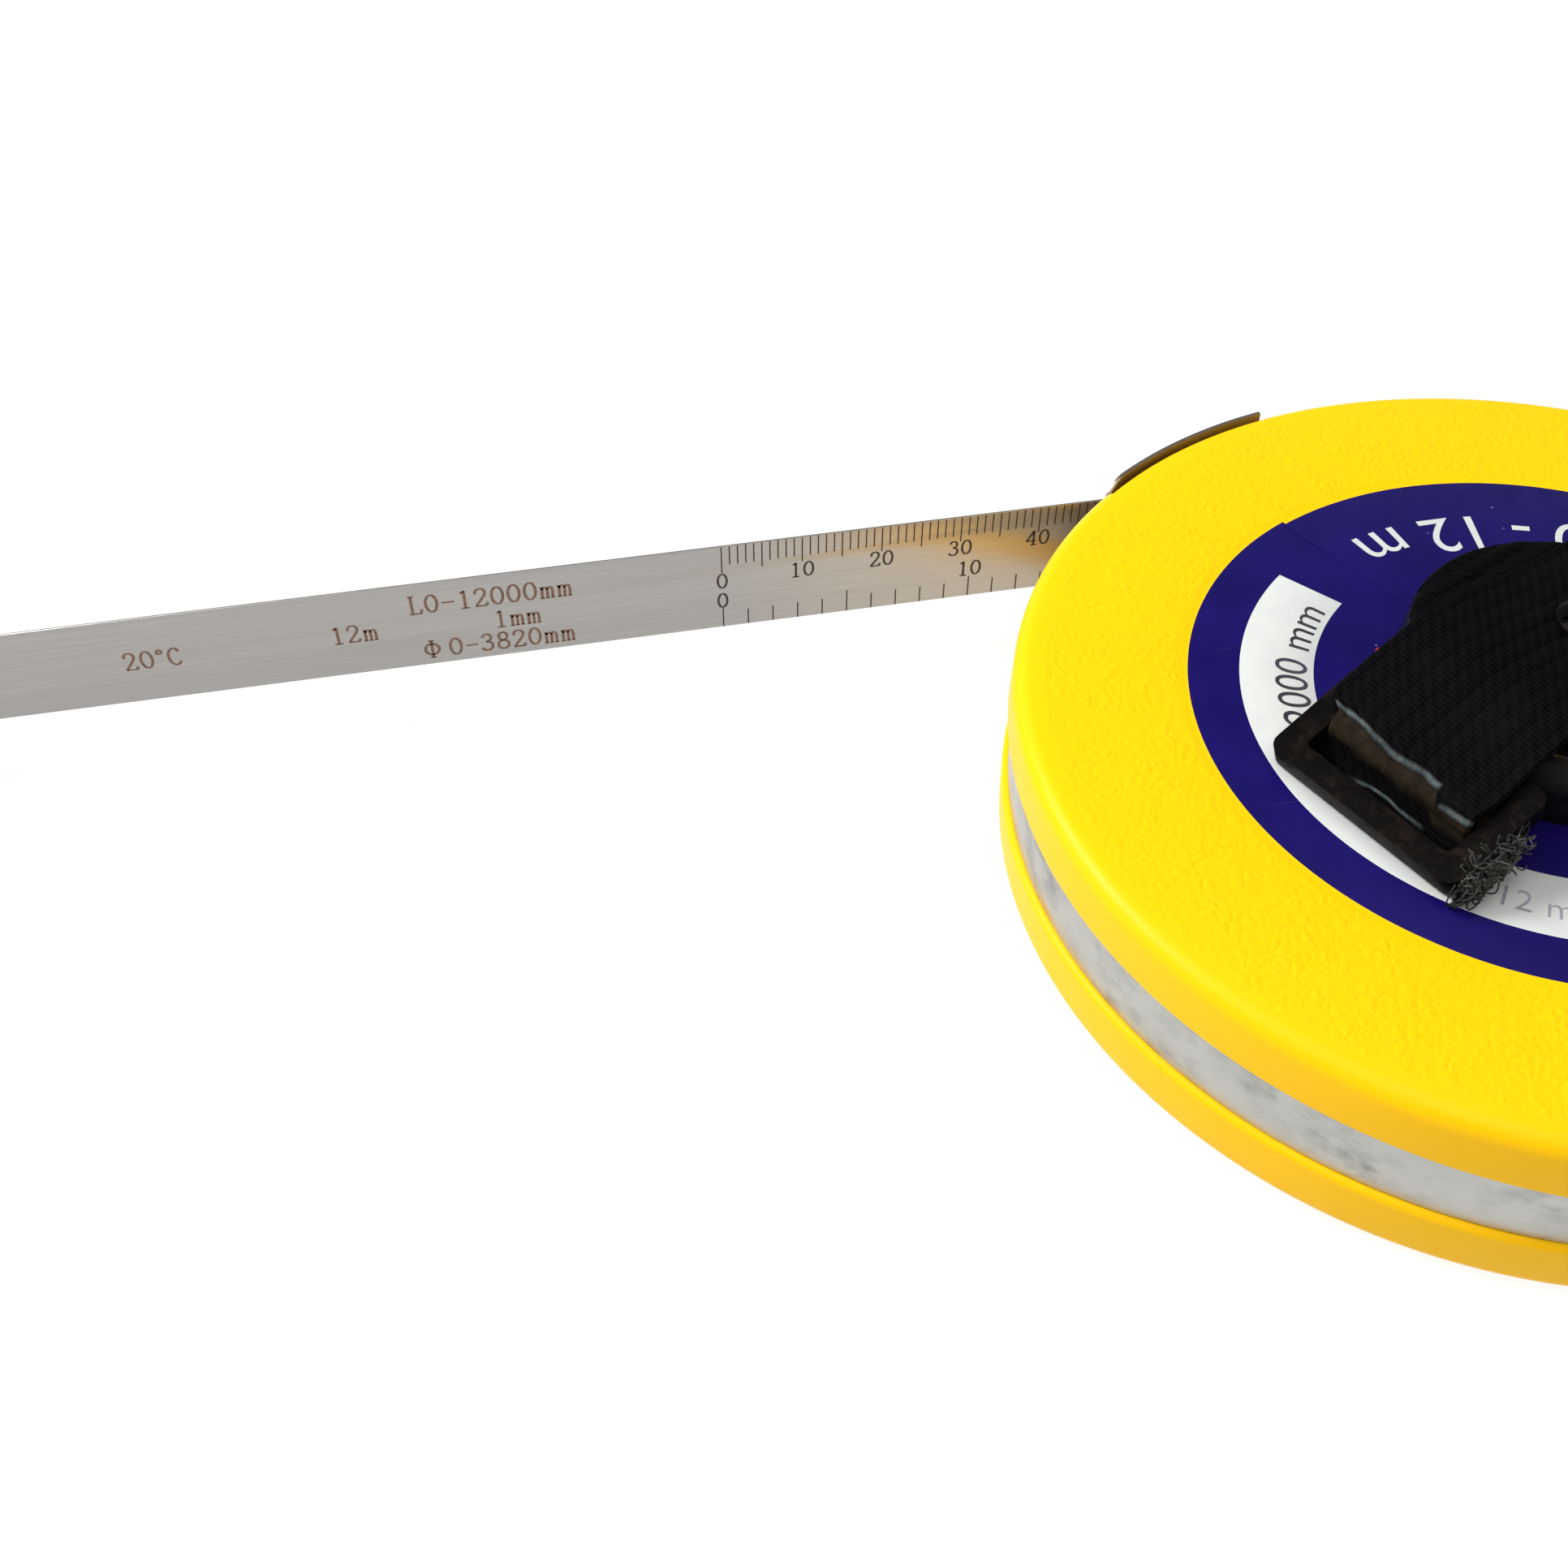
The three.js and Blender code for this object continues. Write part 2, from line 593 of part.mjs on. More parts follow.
function addDrum() {
  const flangeRadii = [DISH_RADIUS + GAP, DRUM_FLANGE_RADIUS];
  const lower = tube(...flangeRadii, LOWER_FLANGE_TOP_Z - DRUM_FLANGE_THICKNESS, LOWER_FLANGE_TOP_Z, 48);
  const upperZ = [UPPER_FLANGE_BOTTOM_Z, UPPER_FLANGE_BOTTOM_Z + DRUM_FLANGE_THICKNESS];
  const upper = tube(SHELL_HOLE_RADIUS + 1, DRUM_FLANGE_RADIUS, ...upperZ, 48);
  addSolid('drum_hub', makeHub(), 'greyPlastic');
  addSolid('drum_flange_lower', lower, 'polishedSteel');
  addSolid('drum_flange_upper', upper, 'polishedSteel');
  addSolid('crank_dish', makeDish(), 'mattBlackPlastic');
  const rivet = disc(2.3, 4.5, DISH_FLOOR_Z - GAP, 16).add(disc(1.2, 5, 12.5, 12));
  DRUM_RIVET_ANGLES.forEach((degrees, index) => {
    const { x, y } = polar(DRUM_RIVET_CIRCLE, degrees);
    addSolid(`drum_rivet_${index + 1}`, rivet, 'polishedSteel').position.set(x, y, 0);
  });
  const coil = tube(DRUM_CORE_RADIUS + GAP, COIL_RADIUS, TAPE_BOTTOM_Z, TAPE_TOP_Z, 64);
  addSolid('tape_coil', coil, 'tapeSteel');
  const anchor = block(
    [-DRUM_CORE_RADIUS, -2, TAPE_BOTTOM_Z],
    [-DRUM_CORE_RADIUS + 1.2, 2, TAPE_TOP_Z - 2],
  );
  addSolid('tape_anchor', anchor, 'polishedSteel');
}

// ---------------------------------------------------------------- folding crank

function makeCrankArm() {
  const barrel = rod(CRANK_CURL_RADIUS, 2 * CRANK_HALF_WIDTH).translate([0, CRANK_PIVOT_Y, CRANK_PIVOT_Z]);
  const neck = block(
    [-CRANK_HALF_WIDTH, CRANK_PIVOT_Y + 0.2, CRANK_PIVOT_Z],
    [CRANK_HALF_WIDTH, CRANK_PIVOT_Y + CRANK_CURL_RADIUS, PLATE_TOP_Z],
  );
  const tongue = block(
    [-CRANK_HALF_WIDTH, CRANK_PIVOT_Y + 0.2, PLATE_BOTTOM_Z],
    [CRANK_HALF_WIDTH, 0, PLATE_TOP_Z],
  );
  const ring = disc(CRANK_RING_RADIUS, PLATE_BOTTOM_Z, PLATE_TOP_Z, 48);
  const outline = new THREE.Shape([
    new THREE.Vector2(-CRANK_RING_RADIUS + 1, 4),
    new THREE.Vector2(CRANK_RING_RADIUS - 1, 4),
    new THREE.Vector2(CRANK_TIP_RADIUS, KNOB_Y),
    new THREE.Vector2(-CRANK_TIP_RADIUS, KNOB_Y),
  ]);
  const taper = plate(outline, PLATE_BOTTOM_Z, PLATE_TOP_Z);
  const tip = disc(CRANK_TIP_RADIUS, PLATE_BOTTOM_Z, PLATE_TOP_Z, 32).translate([0, KNOB_Y, 0]);
  const eye = disc(CRANK_EYE_RADIUS, 0, 10, 48);
  const counterbore = disc(KNOB_RIVET_HEAD_RADIUS + GAP, 0, PLATE_BOTTOM_Z + 0.9, 20);
  const rivetHole = disc(KNOB_RIVET_RADIUS + GAP, 0, 10, 16).add(counterbore).translate([0, KNOB_Y, 0]);
  const pinBore = rod(CRANK_PIN_RADIUS + GAP, 40, 12).translate([0, CRANK_PIVOT_Y, CRANK_PIVOT_Z]);
  return barrel.add(neck).add(tongue).add(ring).add(taper).add(tip)
    .subtract(eye).subtract(rivetHole).subtract(pinBore);
}

function makeKnob() {
  const [low, high] = [KNOB_BOTTOM_Z, KNOB_BOTTOM_Z + KNOB_LENGTH];
  return turned([
    [KNOB_RIVET_RADIUS + GAP, low],
    [KNOB_RADIUS - 1, low],
    [KNOB_RADIUS - 0.4, low + 1],
    [KNOB_RADIUS - 0.8, low + 4],
    [KNOB_RADIUS, high - 1.2],
    [KNOB_RADIUS - 0.8, high],
    [2.8, high],
    [2.8, high - 1.2],
    [KNOB_RIVET_RADIUS + GAP, high - 1.2],
  ], 24).translate([0, KNOB_Y, 0]);
}

function makeKnobRivet() {
  const top = KNOB_BOTTOM_Z + KNOB_LENGTH - 1.2 + GAP;
  return turned([
    [0, PLATE_BOTTOM_Z],
    [KNOB_RIVET_HEAD_RADIUS, PLATE_BOTTOM_Z],
    [KNOB_RIVET_HEAD_RADIUS, PLATE_BOTTOM_Z + 0.6],
    [KNOB_RIVET_RADIUS, PLATE_BOTTOM_Z + 0.6],
    [KNOB_RIVET_RADIUS, top],
    [KNOB_RIVET_HEAD_RADIUS, top],
    [KNOB_RIVET_HEAD_RADIUS, top + 0.7],
    [0, top + 0.7],
  ], 20).translate([0, KNOB_Y, 0]);
}

function addCrank() {
  const pinLength = 2 * (CRANK_HALF_WIDTH + GAP + CRANK_LUG);
  const pin = rod(CRANK_PIN_RADIUS, pinLength, 12).translate([0, CRANK_PIVOT_Y, CRANK_PIVOT_Z]);
  addSolid('crank_pin', pin, 'polishedSteel');
  addSolid('crank_arm', makeCrankArm(), 'satinSteel');
  addSolid('crank_knob', makeKnob(), 'blackPlastic');
  addSolid('knob_rivet', makeKnobRivet(), 'polishedSteel');
}

// ---------------------------------------------------------------- tape blade and pull ring

function makeEndFitting() {
  const [half, thickness] = [1.15, 0.8];
  const inner = TAPE_THICKNESS / 2 + GAP;
  const low = TAPE_BOTTOM_Z + 0.6;
  const high = TAPE_TOP_Z - 0.6;
  const curl = disc(RING_WIRE_RADIUS + GAP + thickness, low, high, 24).translate([RING_AXIS_X, 0, 0]);
  const leaves = block([RING_AXIS_X, -half, low], [TAPE_OUTER_END_X + 9, half, high]);
  const bore = disc(RING_WIRE_RADIUS + GAP, 0, 30, 20).translate([RING_AXIS_X, 0, 0]);
  const slit = block([TAPE_OUTER_END_X - 1, -inner, 0], [TAPE_OUTER_END_X + 12, inner, 30]);
  return curl.add(leaves).subtract(bore).subtract(slit);
}

function wireLoop(corners, radius) {
  let loop = null;
  corners.forEach((corner, index) => {
    const next = corners[(index + 1) % corners.length];
    const along = new THREE.Vector3().subVectors(next, corner);
    const bar = new THREE.CapsuleGeometry(radius, along.length(), 3, 8);
    const turn = new THREE.Quaternion();
    turn.setFromUnitVectors(new THREE.Vector3(0, 1, 0), along.clone().normalize());
    const middle = new THREE.Vector3().addVectors(next, corner).multiplyScalar(0.5);
    const piece = toSolid(bar.applyQuaternion(turn).translate(middle.x, middle.y, middle.z));
    loop = loop ? loop.add(piece) : piece;
  });
  return loop;
}

function makeEndRing() {
  const [near, far] = [0, -RING_LENGTH + 2 * RING_WIRE_RADIUS];
  const reach = RING_HEIGHT / 2 - RING_WIRE_RADIUS;
  const cut = RING_CORNER * 0.4;
  const corners = [
    [near, -reach],
    [near, reach],
    [far + RING_CORNER, reach],
    [far + cut, reach - cut],
    [far, reach - RING_CORNER],
    [far, RING_CORNER - reach],
    [far + cut, cut - reach],
    [far + RING_CORNER, -reach],
  ];
  return wireLoop(corners.map(([x, z]) => new THREE.Vector3(x, 0, z)), RING_WIRE_RADIUS);
}

function addTape() {
  const holeXs = [TAPE_OUTER_END_X + 2.5, TAPE_OUTER_END_X + 6];
  const rivetHole = rod(0.7 + GAP, 10, 12).rotate([0, 0, 90]);
  let blade = block(
    [TAPE_OUTER_END_X, -TAPE_THICKNESS / 2, TAPE_BOTTOM_Z],
    [0, TAPE_THICKNESS / 2, TAPE_TOP_Z],
  );
  let fitting = makeEndFitting();
  for (const x of holeXs) {
    blade = blade.subtract(rivetHole.translate([x, 0, MID_Z]));
    fitting = fitting.subtract(rivetHole.translate([x, 0, MID_Z]));
  }
  addSolid('tape_blade', blade, 'tapeSteel').position.y = TAPE_LINE_Y;
  addSolid('tape_end_fitting', fitting, 'satinSteel').position.y = TAPE_LINE_Y;
  const shank = rod(0.7, 3.2, 12).rotate([0, 0, 90]);
  const head = rod(1.5, 0.6, 16).rotate([0, 0, 90]);
  const rivet = shank.add(head.translate([0, 1.75, 0])).add(head.translate([0, -1.75, 0]));
  holeXs.forEach((x, index) => {
    const node = addSolid(`tape_end_rivet_${index + 1}`, rivet, 'polishedSteel');
    node.position.set(x, TAPE_LINE_Y, MID_Z);
  });
  const ring = addSolid('end_ring', makeEndRing(), 'polishedSteel');
  ring.position.set(RING_AXIS_X, TAPE_LINE_Y, MID_Z);
}

addCase();
addCaseScrews();
addStrap();
addDrum();
addCrank();
addTape();

export default reel;
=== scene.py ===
import math
import random

import bmesh
import bpy
from mathutils import Matrix, Vector


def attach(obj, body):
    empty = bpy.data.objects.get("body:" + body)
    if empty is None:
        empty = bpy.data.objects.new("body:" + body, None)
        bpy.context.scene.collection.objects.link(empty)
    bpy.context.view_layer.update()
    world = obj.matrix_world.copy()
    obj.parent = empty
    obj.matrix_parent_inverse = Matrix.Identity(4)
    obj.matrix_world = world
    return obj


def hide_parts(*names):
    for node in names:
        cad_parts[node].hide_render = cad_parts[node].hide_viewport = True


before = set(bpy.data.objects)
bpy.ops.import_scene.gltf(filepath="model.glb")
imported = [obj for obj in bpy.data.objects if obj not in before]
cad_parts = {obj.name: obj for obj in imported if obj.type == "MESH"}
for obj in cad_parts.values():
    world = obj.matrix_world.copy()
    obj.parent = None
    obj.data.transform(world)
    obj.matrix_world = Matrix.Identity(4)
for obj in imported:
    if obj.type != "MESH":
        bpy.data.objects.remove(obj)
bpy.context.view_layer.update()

# Looks of the surveyor's tape reel. Lengths are in millimetres until a mesh is made, and every
# mesh is made in the row frame, where the drum turns about Z and the tape leaves towards -X.

scene = bpy.context.scene
rng = random.Random(7)
MM = 0.001
GAP = 0.3

# ---- sizes

# These are the CAD's sizes, apart from the strap's width, 20 in the CAD, and the length of the
# buckle's slots, 20.8 there.
CASE_RADIUS = 57.7
CASE_THICKNESS = 22.5
CASE_WALL = 2.0
CASE_INNER_RADIUS = CASE_RADIUS - CASE_WALL
FACE_EDGE_RADIUS = 57.5
LOWER_SEAM_Z = 7.7
UPPER_SEAM_Z = 15.4
BAND_RADIUS = 57.1
BAND_THICKNESS = 0.8
MOUTH_START = 102
MOUTH_END = 128
MOUTH_SEAT_RADIUS = 56.4
MOUTH_PLATE_RADIUS = 57.9
MOUTH_PLATE_THICKNESS = 0.5
MOUTH_SLOT = (117.5, 122.5)
MOUTH_SLOT_Z = (4.4, 18.1)
MOUTH_WAY_X = (-45, -15)
MOUTH_WAY_Y = (47.75, 50.45)
MOUTH_CORNER = 3.5

TAPE_Y = 49.1
TAPE_BOTTOM_Z = 4.9
TAPE_TOP_Z = 17.6
TAPE_MID_Z = 11.25
TAPE_THICKNESS = 0.3
TAPE_END_X = -190
ZERO_X = -82.18

LABEL_RADIUS = 38.6
LABEL_BOTTOM_Z = 22.3
LABEL_TOP_Z = 22.55
LABEL_FOOT_RADIUS = 38.1
RECESS_RADIUS = 38.15
RECESS_FLOOR_Z = 22.0
SHELL_HOLE_RADIUS = 4.3
BOSS_RADIUS = 18.2
BOSS_TOP_RADIUS = 17.2
BOSS_TOP_Z = 31.1

STRAP_ANGLE = 25
STRAP_WIDTH = 20.6
STRAP_THICKNESS = 0.9
LOWER_LAYER = STRAP_THICKNESS / 2 + GAP
UPPER_LAYER = LOWER_LAYER + STRAP_THICKNESS + GAP
BUCKLE_CENTRE = (-25.1, -4.6)
BUCKLE_TILT = 20
BUCKLE_LENGTH = 24
BUCKLE_WIDTH = 13.6
BUCKLE_THICKNESS = 2.4
BUCKLE_OUTER_BAR = 2.6
BUCKLE_OUTER_SLOT = 4.2
BUCKLE_MIDDLE_BAR = 2.2
BUCKLE_INNER_SLOT = 2.6
BUCKLE_SLOT_LENGTH = 18.4

CASE_SCREW_CIRCLE = 52.9
CASE_SCREW_ANGLES = (20, 160, 220, 300)
DISH_RADIUS = 26
KNOB_Y = 15
RING_AXIS_X = -196


# ---- mesh helpers

def polar(radius, degrees, z=0.0):
    angle = math.radians(degrees)
    return Vector((radius * math.cos(angle), radius * math.sin(angle), z))


def link(name, mesh):
    obj = bpy.data.objects.new(name, mesh)
    scene.collection.objects.link(obj)
    return obj


def soften(obj, sharp=38):
    """Smooth shading, apart from edges sharper than that angle."""
    obj.data.shade_smooth()
    obj.data.set_sharp_from_angle(angle=math.radians(sharp))
    return obj


def solid(name, verts, faces, sharp=38, merge=0.0005):
    mesh = bpy.data.meshes.new(name)
    mesh.from_pydata([Vector(v) * MM for v in verts], [], faces)
    work = bmesh.new()
    work.from_mesh(mesh)
    bmesh.ops.remove_doubles(work, verts=work.verts, dist=merge * MM)
    bmesh.ops.dissolve_degenerate(work, edges=work.edges, dist=1e-8)
    bmesh.ops.recalc_face_normals(work, faces=work.faces)
    work.to_mesh(mesh)
    work.free()
    mesh.update()
    return soften(link(name, mesh), sharp)


def bake(obj):
    """The object's modifiers, or its curve, become its mesh."""
    depsgraph = bpy.context.evaluated_depsgraph_get()
    mesh = bpy.data.meshes.new_from_object(obj.evaluated_get(depsgraph))
    if obj.type == "MESH":
        obj.modifiers.clear()
        obj.data = mesh
        return obj
    name = obj.name
    place = obj.matrix_world.copy()
    bpy.data.objects.remove(obj)
    mesh.transform(place)
    mesh.name = name
    return link(name, mesh)


def bevel(obj, width, segments=2, angle=32):
    modifier = obj.modifiers.new("edges", "BEVEL")
    modifier.width = width * MM
    modifier.segments = segments
    modifier.limit_method = "ANGLE"
    modifier.angle_limit = math.radians(angle)


def cut(obj, *tools):
    for tool in tools:
        modifier = obj.modifiers.new("cut", "BOOLEAN")
        modifier.operation = "DIFFERENCE"
        modifier.solver = "EXACT"
        modifier.object = tool
    bake(obj)
    for tool in tools:
        bpy.data.objects.remove(tool)
    return soften(obj)


def fillet(corners, steps=5):
    """A closed outline of (x, y, radius) corners, each rounded by its own radius."""
    points = []
    count = len(corners)
    for i, (x, y, radius) in enumerate(corners):
        here = Vector((x, y))
        if radius <= 0:
            points.append((x, y))
            continue
        before = Vector(corners[i - 1][:2]) - here
        after = Vector(corners[(i + 1) % count][:2]) - here
        half = before.angle(after) / 2
        reach = min(radius / math.tan(half), 0.49 * before.length, 0.49 * after.length)
        radius = reach * math.tan(half)
        middle = (before.normalized() + after.normalized()).normalized()
        centre = here + middle * (radius / math.sin(half))
        start = here + before.normalized() * reach - centre
        end = here + after.normalized() * reach - centre
        first = math.atan2(start.y, start.x)
        turn = (math.atan2(end.y, end.x) - first + math.pi) % (2 * math.pi) - math.pi
        for k in range(steps + 1):
            angle = first + turn * k / steps
            x, y = centre.x + radius * math.cos(angle), centre.y + radius * math.sin(angle)
            points.append((x, y))
    return points


def swept_faces(size, columns, closed):
    """Faces between the columns of a swept outline of that size. An open sweep gets end faces."""
    faces = []
    for i in range(columns if closed else columns - 1):
        left, right = i * size, (i + 1) % columns * size
        for j in range(size):
            k = (j + 1) % size
            faces.append((left + j, right + j, right + k, left + k))
    if not closed:
        faces.append(tuple(range(size)))
        faces.append(tuple((columns - 1) * size + j for j in reversed(range(size))))
    return faces


def lathe(name, corners, segments=192, start=0.0, sweep=360.0, steps=5, sharp=38):
    """A closed outline of (radius, z, rounding) corners, turned about Z."""
    outline = fillet(corners, steps)
    full = sweep >= 360
    columns = segments if full else segments + 1
    verts = [
        polar(radius, start + sweep * i / segments, z)
        for i in range(columns)
        for radius, z in outline
    ]
    return solid(name, verts, swept_faces(len(outline), columns, full), sharp)


def block(name, low, high):
    xs, ys, zs = zip(low, high)
    verts = [(x, y, z) for x in xs for y in ys for z in zs]
    faces = [(0, 1, 3, 2), (4, 6, 7, 5), (0, 4, 5, 1), (2, 3, 7, 6), (0, 2, 6, 4), (1, 5, 7, 3)]
    return solid(name, verts, faces)


def flat_plate(name, outer, holes, bottom, top, edge, segments):
    """A flat outline with holes, given a thickness and rounded edges."""
    work = bmesh.new()
    edges = []
    for loop in [outer, *holes]:
        corners = [work.verts.new((x * MM, y * MM, bottom * MM)) for x, y in loop]
        edges += [work.edges.new((corners[i - 1], corners[i])) for i in range(len(corners))]
    bmesh.ops.triangle_fill(work, edges=edges, use_beauty=True)
    raised = bmesh.ops.extrude_face_region(work, geom=work.faces[:])
    moved = [item for item in raised["geom"] if isinstance(item, bmesh.types.BMVert)]
    bmesh.ops.translate(work, verts=moved, vec=(0, 0, (top - bottom) * MM))
    bmesh.ops.recalc_face_normals(work, faces=work.faces)
    mesh = bpy.data.meshes.new(name)
    work.to_mesh(mesh)
    work.free()
    obj = link(name, mesh)
    bevel(obj, edge, segments)
    return soften(bake(obj))


def rounded_rectangle(length, width, radius, x=0.0, steps=8):
    corners = []
    for sx, sy, start in ((1, -1, -90), (1, 1, 0), (-1, 1, 90), (-1, -1, 180)):
        centre = (x + sx * (length / 2 - radius), sy * (width / 2 - radius))
        for i in range(steps + 1):
            offset = polar(radius, start + 90 * i / steps)
            corners.append((offset.x + centre[0], offset.y + centre[1]))
    return corners


def wires(name, paths, radius, resolution, sharp, closed=False):
    """Round wires along paths of points, as one mesh."""
    curve = bpy.data.curves.new(name, "CURVE")
    curve.dimensions = "3D"
    curve.bevel_depth = radius * MM
    curve.bevel_resolution = resolution
    curve.use_fill_caps = True
    for path in paths:
        spline = curve.splines.new("POLY")
        spline.points.add(len(path) - 1)
        for target, point in zip(spline.points, path):
            target.co = (*(Vector(point) * MM), 1)
        spline.use_cyclic_u = closed
    return soften(bake(link(name, curve)), sharp)


def join(name, objects):
    """Several meshes as one piece."""
    work = bmesh.new()
    for obj in objects:
        copy = obj.data.copy()
        copy.transform(obj.matrix_world)
        work.from_mesh(copy)
        bpy.data.meshes.remove(copy)
        bpy.data.objects.remove(obj)
    mesh = bpy.data.meshes.new(name)
    work.to_mesh(mesh)
    work.free()
    return soften(link(name, mesh))


def lettering(name, body, size, depth, weight=0.0, shear=0.0):
    """Figures as a thin raised mesh in the XY plane, in millimetres."""
    text = bpy.data.curves.new(name, "FONT")
    text.body = body
    text.size = size
    text.align_x = "CENTER"
    text.offset = weight
    text.shear = shear
    text.resolution_u = 6
    text.extrude = depth / 2
    return bake(link(name, text))


def remap(obj, rule):
    """Moves every vertex of a mesh made in millimetres by rule(x, y, z)."""
    for vertex in obj.data.vertices:
        vertex.co = Vector(rule(*vertex.co)) * MM
    obj.data.update()
    return obj


# ---- line of the webbing

def spline_point(points, share):
    """Centripetal Catmull-Rom through the points, as the CAD strap is drawn."""
    place = share * (len(points) - 1)
    index = min(int(place), len(points) - 2)
    weight = place - index
    p1, p2 = points[index], points[index + 1]
    p0 = points[index - 1] if index > 0 else 2 * points[0] - points[1]
    p3 = points[index + 2] if index + 2 < len(points) else 2 * points[-1] - points[-2]
    d0, d1, d2 = (max(math.sqrt((b - a).length), 1e-4) for a, b in ((p0, p1), (p1, p2), (p2, p3)))
    t1 = ((p1 - p0) / d0 - (p2 - p0) / (d0 + d1) + (p2 - p1) / d1) * d1
    t2 = ((p2 - p1) / d1 - (p3 - p1) / (d1 + d2) + (p3 - p2) / d2) * d1
    c2 = -3 * p1 + 3 * p2 - 2 * t1 - t2
    c3 = 2 * p1 - 2 * p2 + t1 + t2
    return p1 + t1 * weight + c2 * weight ** 2 + c3 * weight ** 3


# Both routes are in the webbing's own upright plane: distance along it, height above the boss.
STRAP_STEPS = 10
STRAP_LOOP = [
    (-13, LOWER_LAYER), (0, LOWER_LAYER), (16.6, LOWER_LAYER), (24, -1.6), (34, -4.6), (48, -6.4),
    (62, -6.5), (72, -5.9), (78.5, -5.2), (81.4, -3.6), (79, -1.6), (72, -1.9), (60, -2.9),
    (48, -2.4), (34, -0.3), (24, 1.4), (15, UPPER_LAYER), (0, UPPER_LAYER), (-13.4, UPPER_LAYER),
]
BUCKLE_WEAVE = [
    (7, 2.3), (4, 2.15), (1.6, 2.25), (0, 2.2), (-1, 1.4), (-1.2, 0.2), (-1.9, -1), (-2.5, -1.9),
    (-1.7, -2.5), (0.2, -2.65), (4.6, -2.75),
]


def buckle_to_strap(across, normal):
    """A point given across the buckle and off its middle plane, in the plane of STRAP_LOOP."""
    tilt = math.radians(BUCKLE_TILT)
    return (
        BUCKLE_CENTRE[0] + across * math.cos(tilt) - normal * math.sin(tilt),
        BUCKLE_CENTRE[1] + across * math.sin(tilt) + normal * math.cos(tilt),
    )


def strap_line():
    """Points along the middle of the webbing, STRAP_STEPS from one route point to the next."""
    route = [Vector(point) for point in STRAP_LOOP]
    route += [Vector(buckle_to_strap(*point)) for point in BUCKLE_WEAVE]
    steps = STRAP_STEPS * (len(route) - 1)
    return [spline_point(route, i / steps) for i in range(steps + 1)]


STRAP_LINE = strap_line()
STRAP_DISTANCES = [0.0]
for before, after in zip(STRAP_LINE, STRAP_LINE[1:]):
    STRAP_DISTANCES.append(STRAP_DISTANCES[-1] + (after - before).length)

# How far along the webbing the buckle's middle bar bends it down, and how much further on it
# folds back under the bar.
CREST_DISTANCE = STRAP_DISTANCES[STRAP_STEPS * (len(STRAP_LOOP) + 2) + 7]
FOLD_DISTANCE = STRAP_DISTANCES[STRAP_STEPS * (len(STRAP_LOOP) + 7)] - CREST_DISTANCE - 0.3


# ---- materials

class Shader:
    """A node material, with short calls for the nodes that it needs."""

    def __init__(self, name, colour, roughness, metallic=0.0, shine=0.5):
        self.material = bpy.data.materials.new(name)
        self.material.use_nodes = True
        self.tree = self.material.node_tree
        self.surface = self.tree.nodes["Principled BSDF"]
        self.surface.inputs["Base Color"].default_value = (*colour, 1)
        self.surface.inputs["Roughness"].default_value = roughness
        self.surface.inputs["Metallic"].default_value = metallic
        self.surface.inputs["Specular IOR Level"].default_value = shine

    def node(self, kind, inputs=None, **settings):
        node = self.tree.nodes.new("ShaderNode" + kind)
        for key, value in settings.items():
            setattr(node, key, value)
        for key, value in (inputs or {}).items():
            if isinstance(value, bpy.types.NodeSocket):
                self.tree.links.new(value, node.inputs[key])
            else:
                node.inputs[key].default_value = value
        return node

    def place(self, scale=(1, 1, 1), turn=0.0):
        """Object coordinates in millimetres, stretched by scale."""
        return self.node("Mapping", {
            "Vector": self.node("TexCoord").outputs["Object"],
            "Rotation": (0, 0, math.radians(turn)),
            "Scale": tuple(1000 * value for value in scale),
        }).outputs["Vector"]

    def position(self):
        """Object coordinates in millimetres, one by one."""
        return self.node("SeparateXYZ", {"Vector": self.place()}).outputs

    def noise(self, vector, scale, detail=4.0, roughness=0.55):
        inputs = {"Vector": vector, "Scale": scale, "Detail": detail, "Roughness": roughness}
        return self.node("TexNoise", inputs).outputs["Fac"]

    def voronoi(self, vector, scale, feature="F1"):
        inputs = {"Vector": vector, "Scale": scale}
        return self.node("TexVoronoi", inputs, feature=feature).outputs["Distance"]

    def math(self, operation, a, b=0.0):
        return self.node("Math", {0: a, 1: b}, operation=operation).outputs[0]

    def times(self, a, b):
        return self.math("MULTIPLY", a, b)

    def spread(self, value, low, high, new_low=0.0, new_high=1.0):
        """Values from low to high become new_low to new_high, and those beyond stay there."""
        ends = {"From Min": low, "From Max": high, "To Min": new_low, "To Max": new_high}
        return self.node("MapRange", {"Value": value, **ends}).outputs["Result"]

    def patches(self, vector, scale, detail, *ends, roughness=0.55):
        return self.spread(self.noise(vector, scale, detail, roughness), *ends)

    def blend(self, share, *ends):
        """From the first colour to the second, as share goes from 0 to 1."""
        first, second = ((*end, 1) if isinstance(end, tuple) else end for end in ends)
        inputs = {0: share, 6: first, 7: second}
        return self.node("Mix", inputs, data_type="RGBA").outputs[2]

    def colour(self, socket):
        self.tree.links.new(socket, self.surface.inputs["Base Color"])

    def rough(self, socket):
        self.tree.links.new(socket, self.surface.inputs["Roughness"])

    def bump(self, height, distance, strength=1.0, base=None):
        inputs = {"Height": height, "Distance": distance * MM, "Strength": strength}
        if base is not None:
            inputs["Normal"] = base
        normal = self.node("Bump", inputs).outputs["Normal"]
        self.tree.links.new(normal, self.surface.inputs["Normal"])
        return normal

    def radius_and_height(self):
        """Distance from the drum axis and height, both in millimetres."""
        parts = self.position()
        flat = self.node("CombineXYZ", {"X": parts["X"], "Y": parts["Y"]}).outputs[0]
        length = self.node("VectorMath", {0: flat}, operation="LENGTH").outputs["Value"]
        return length, parts["Z"]


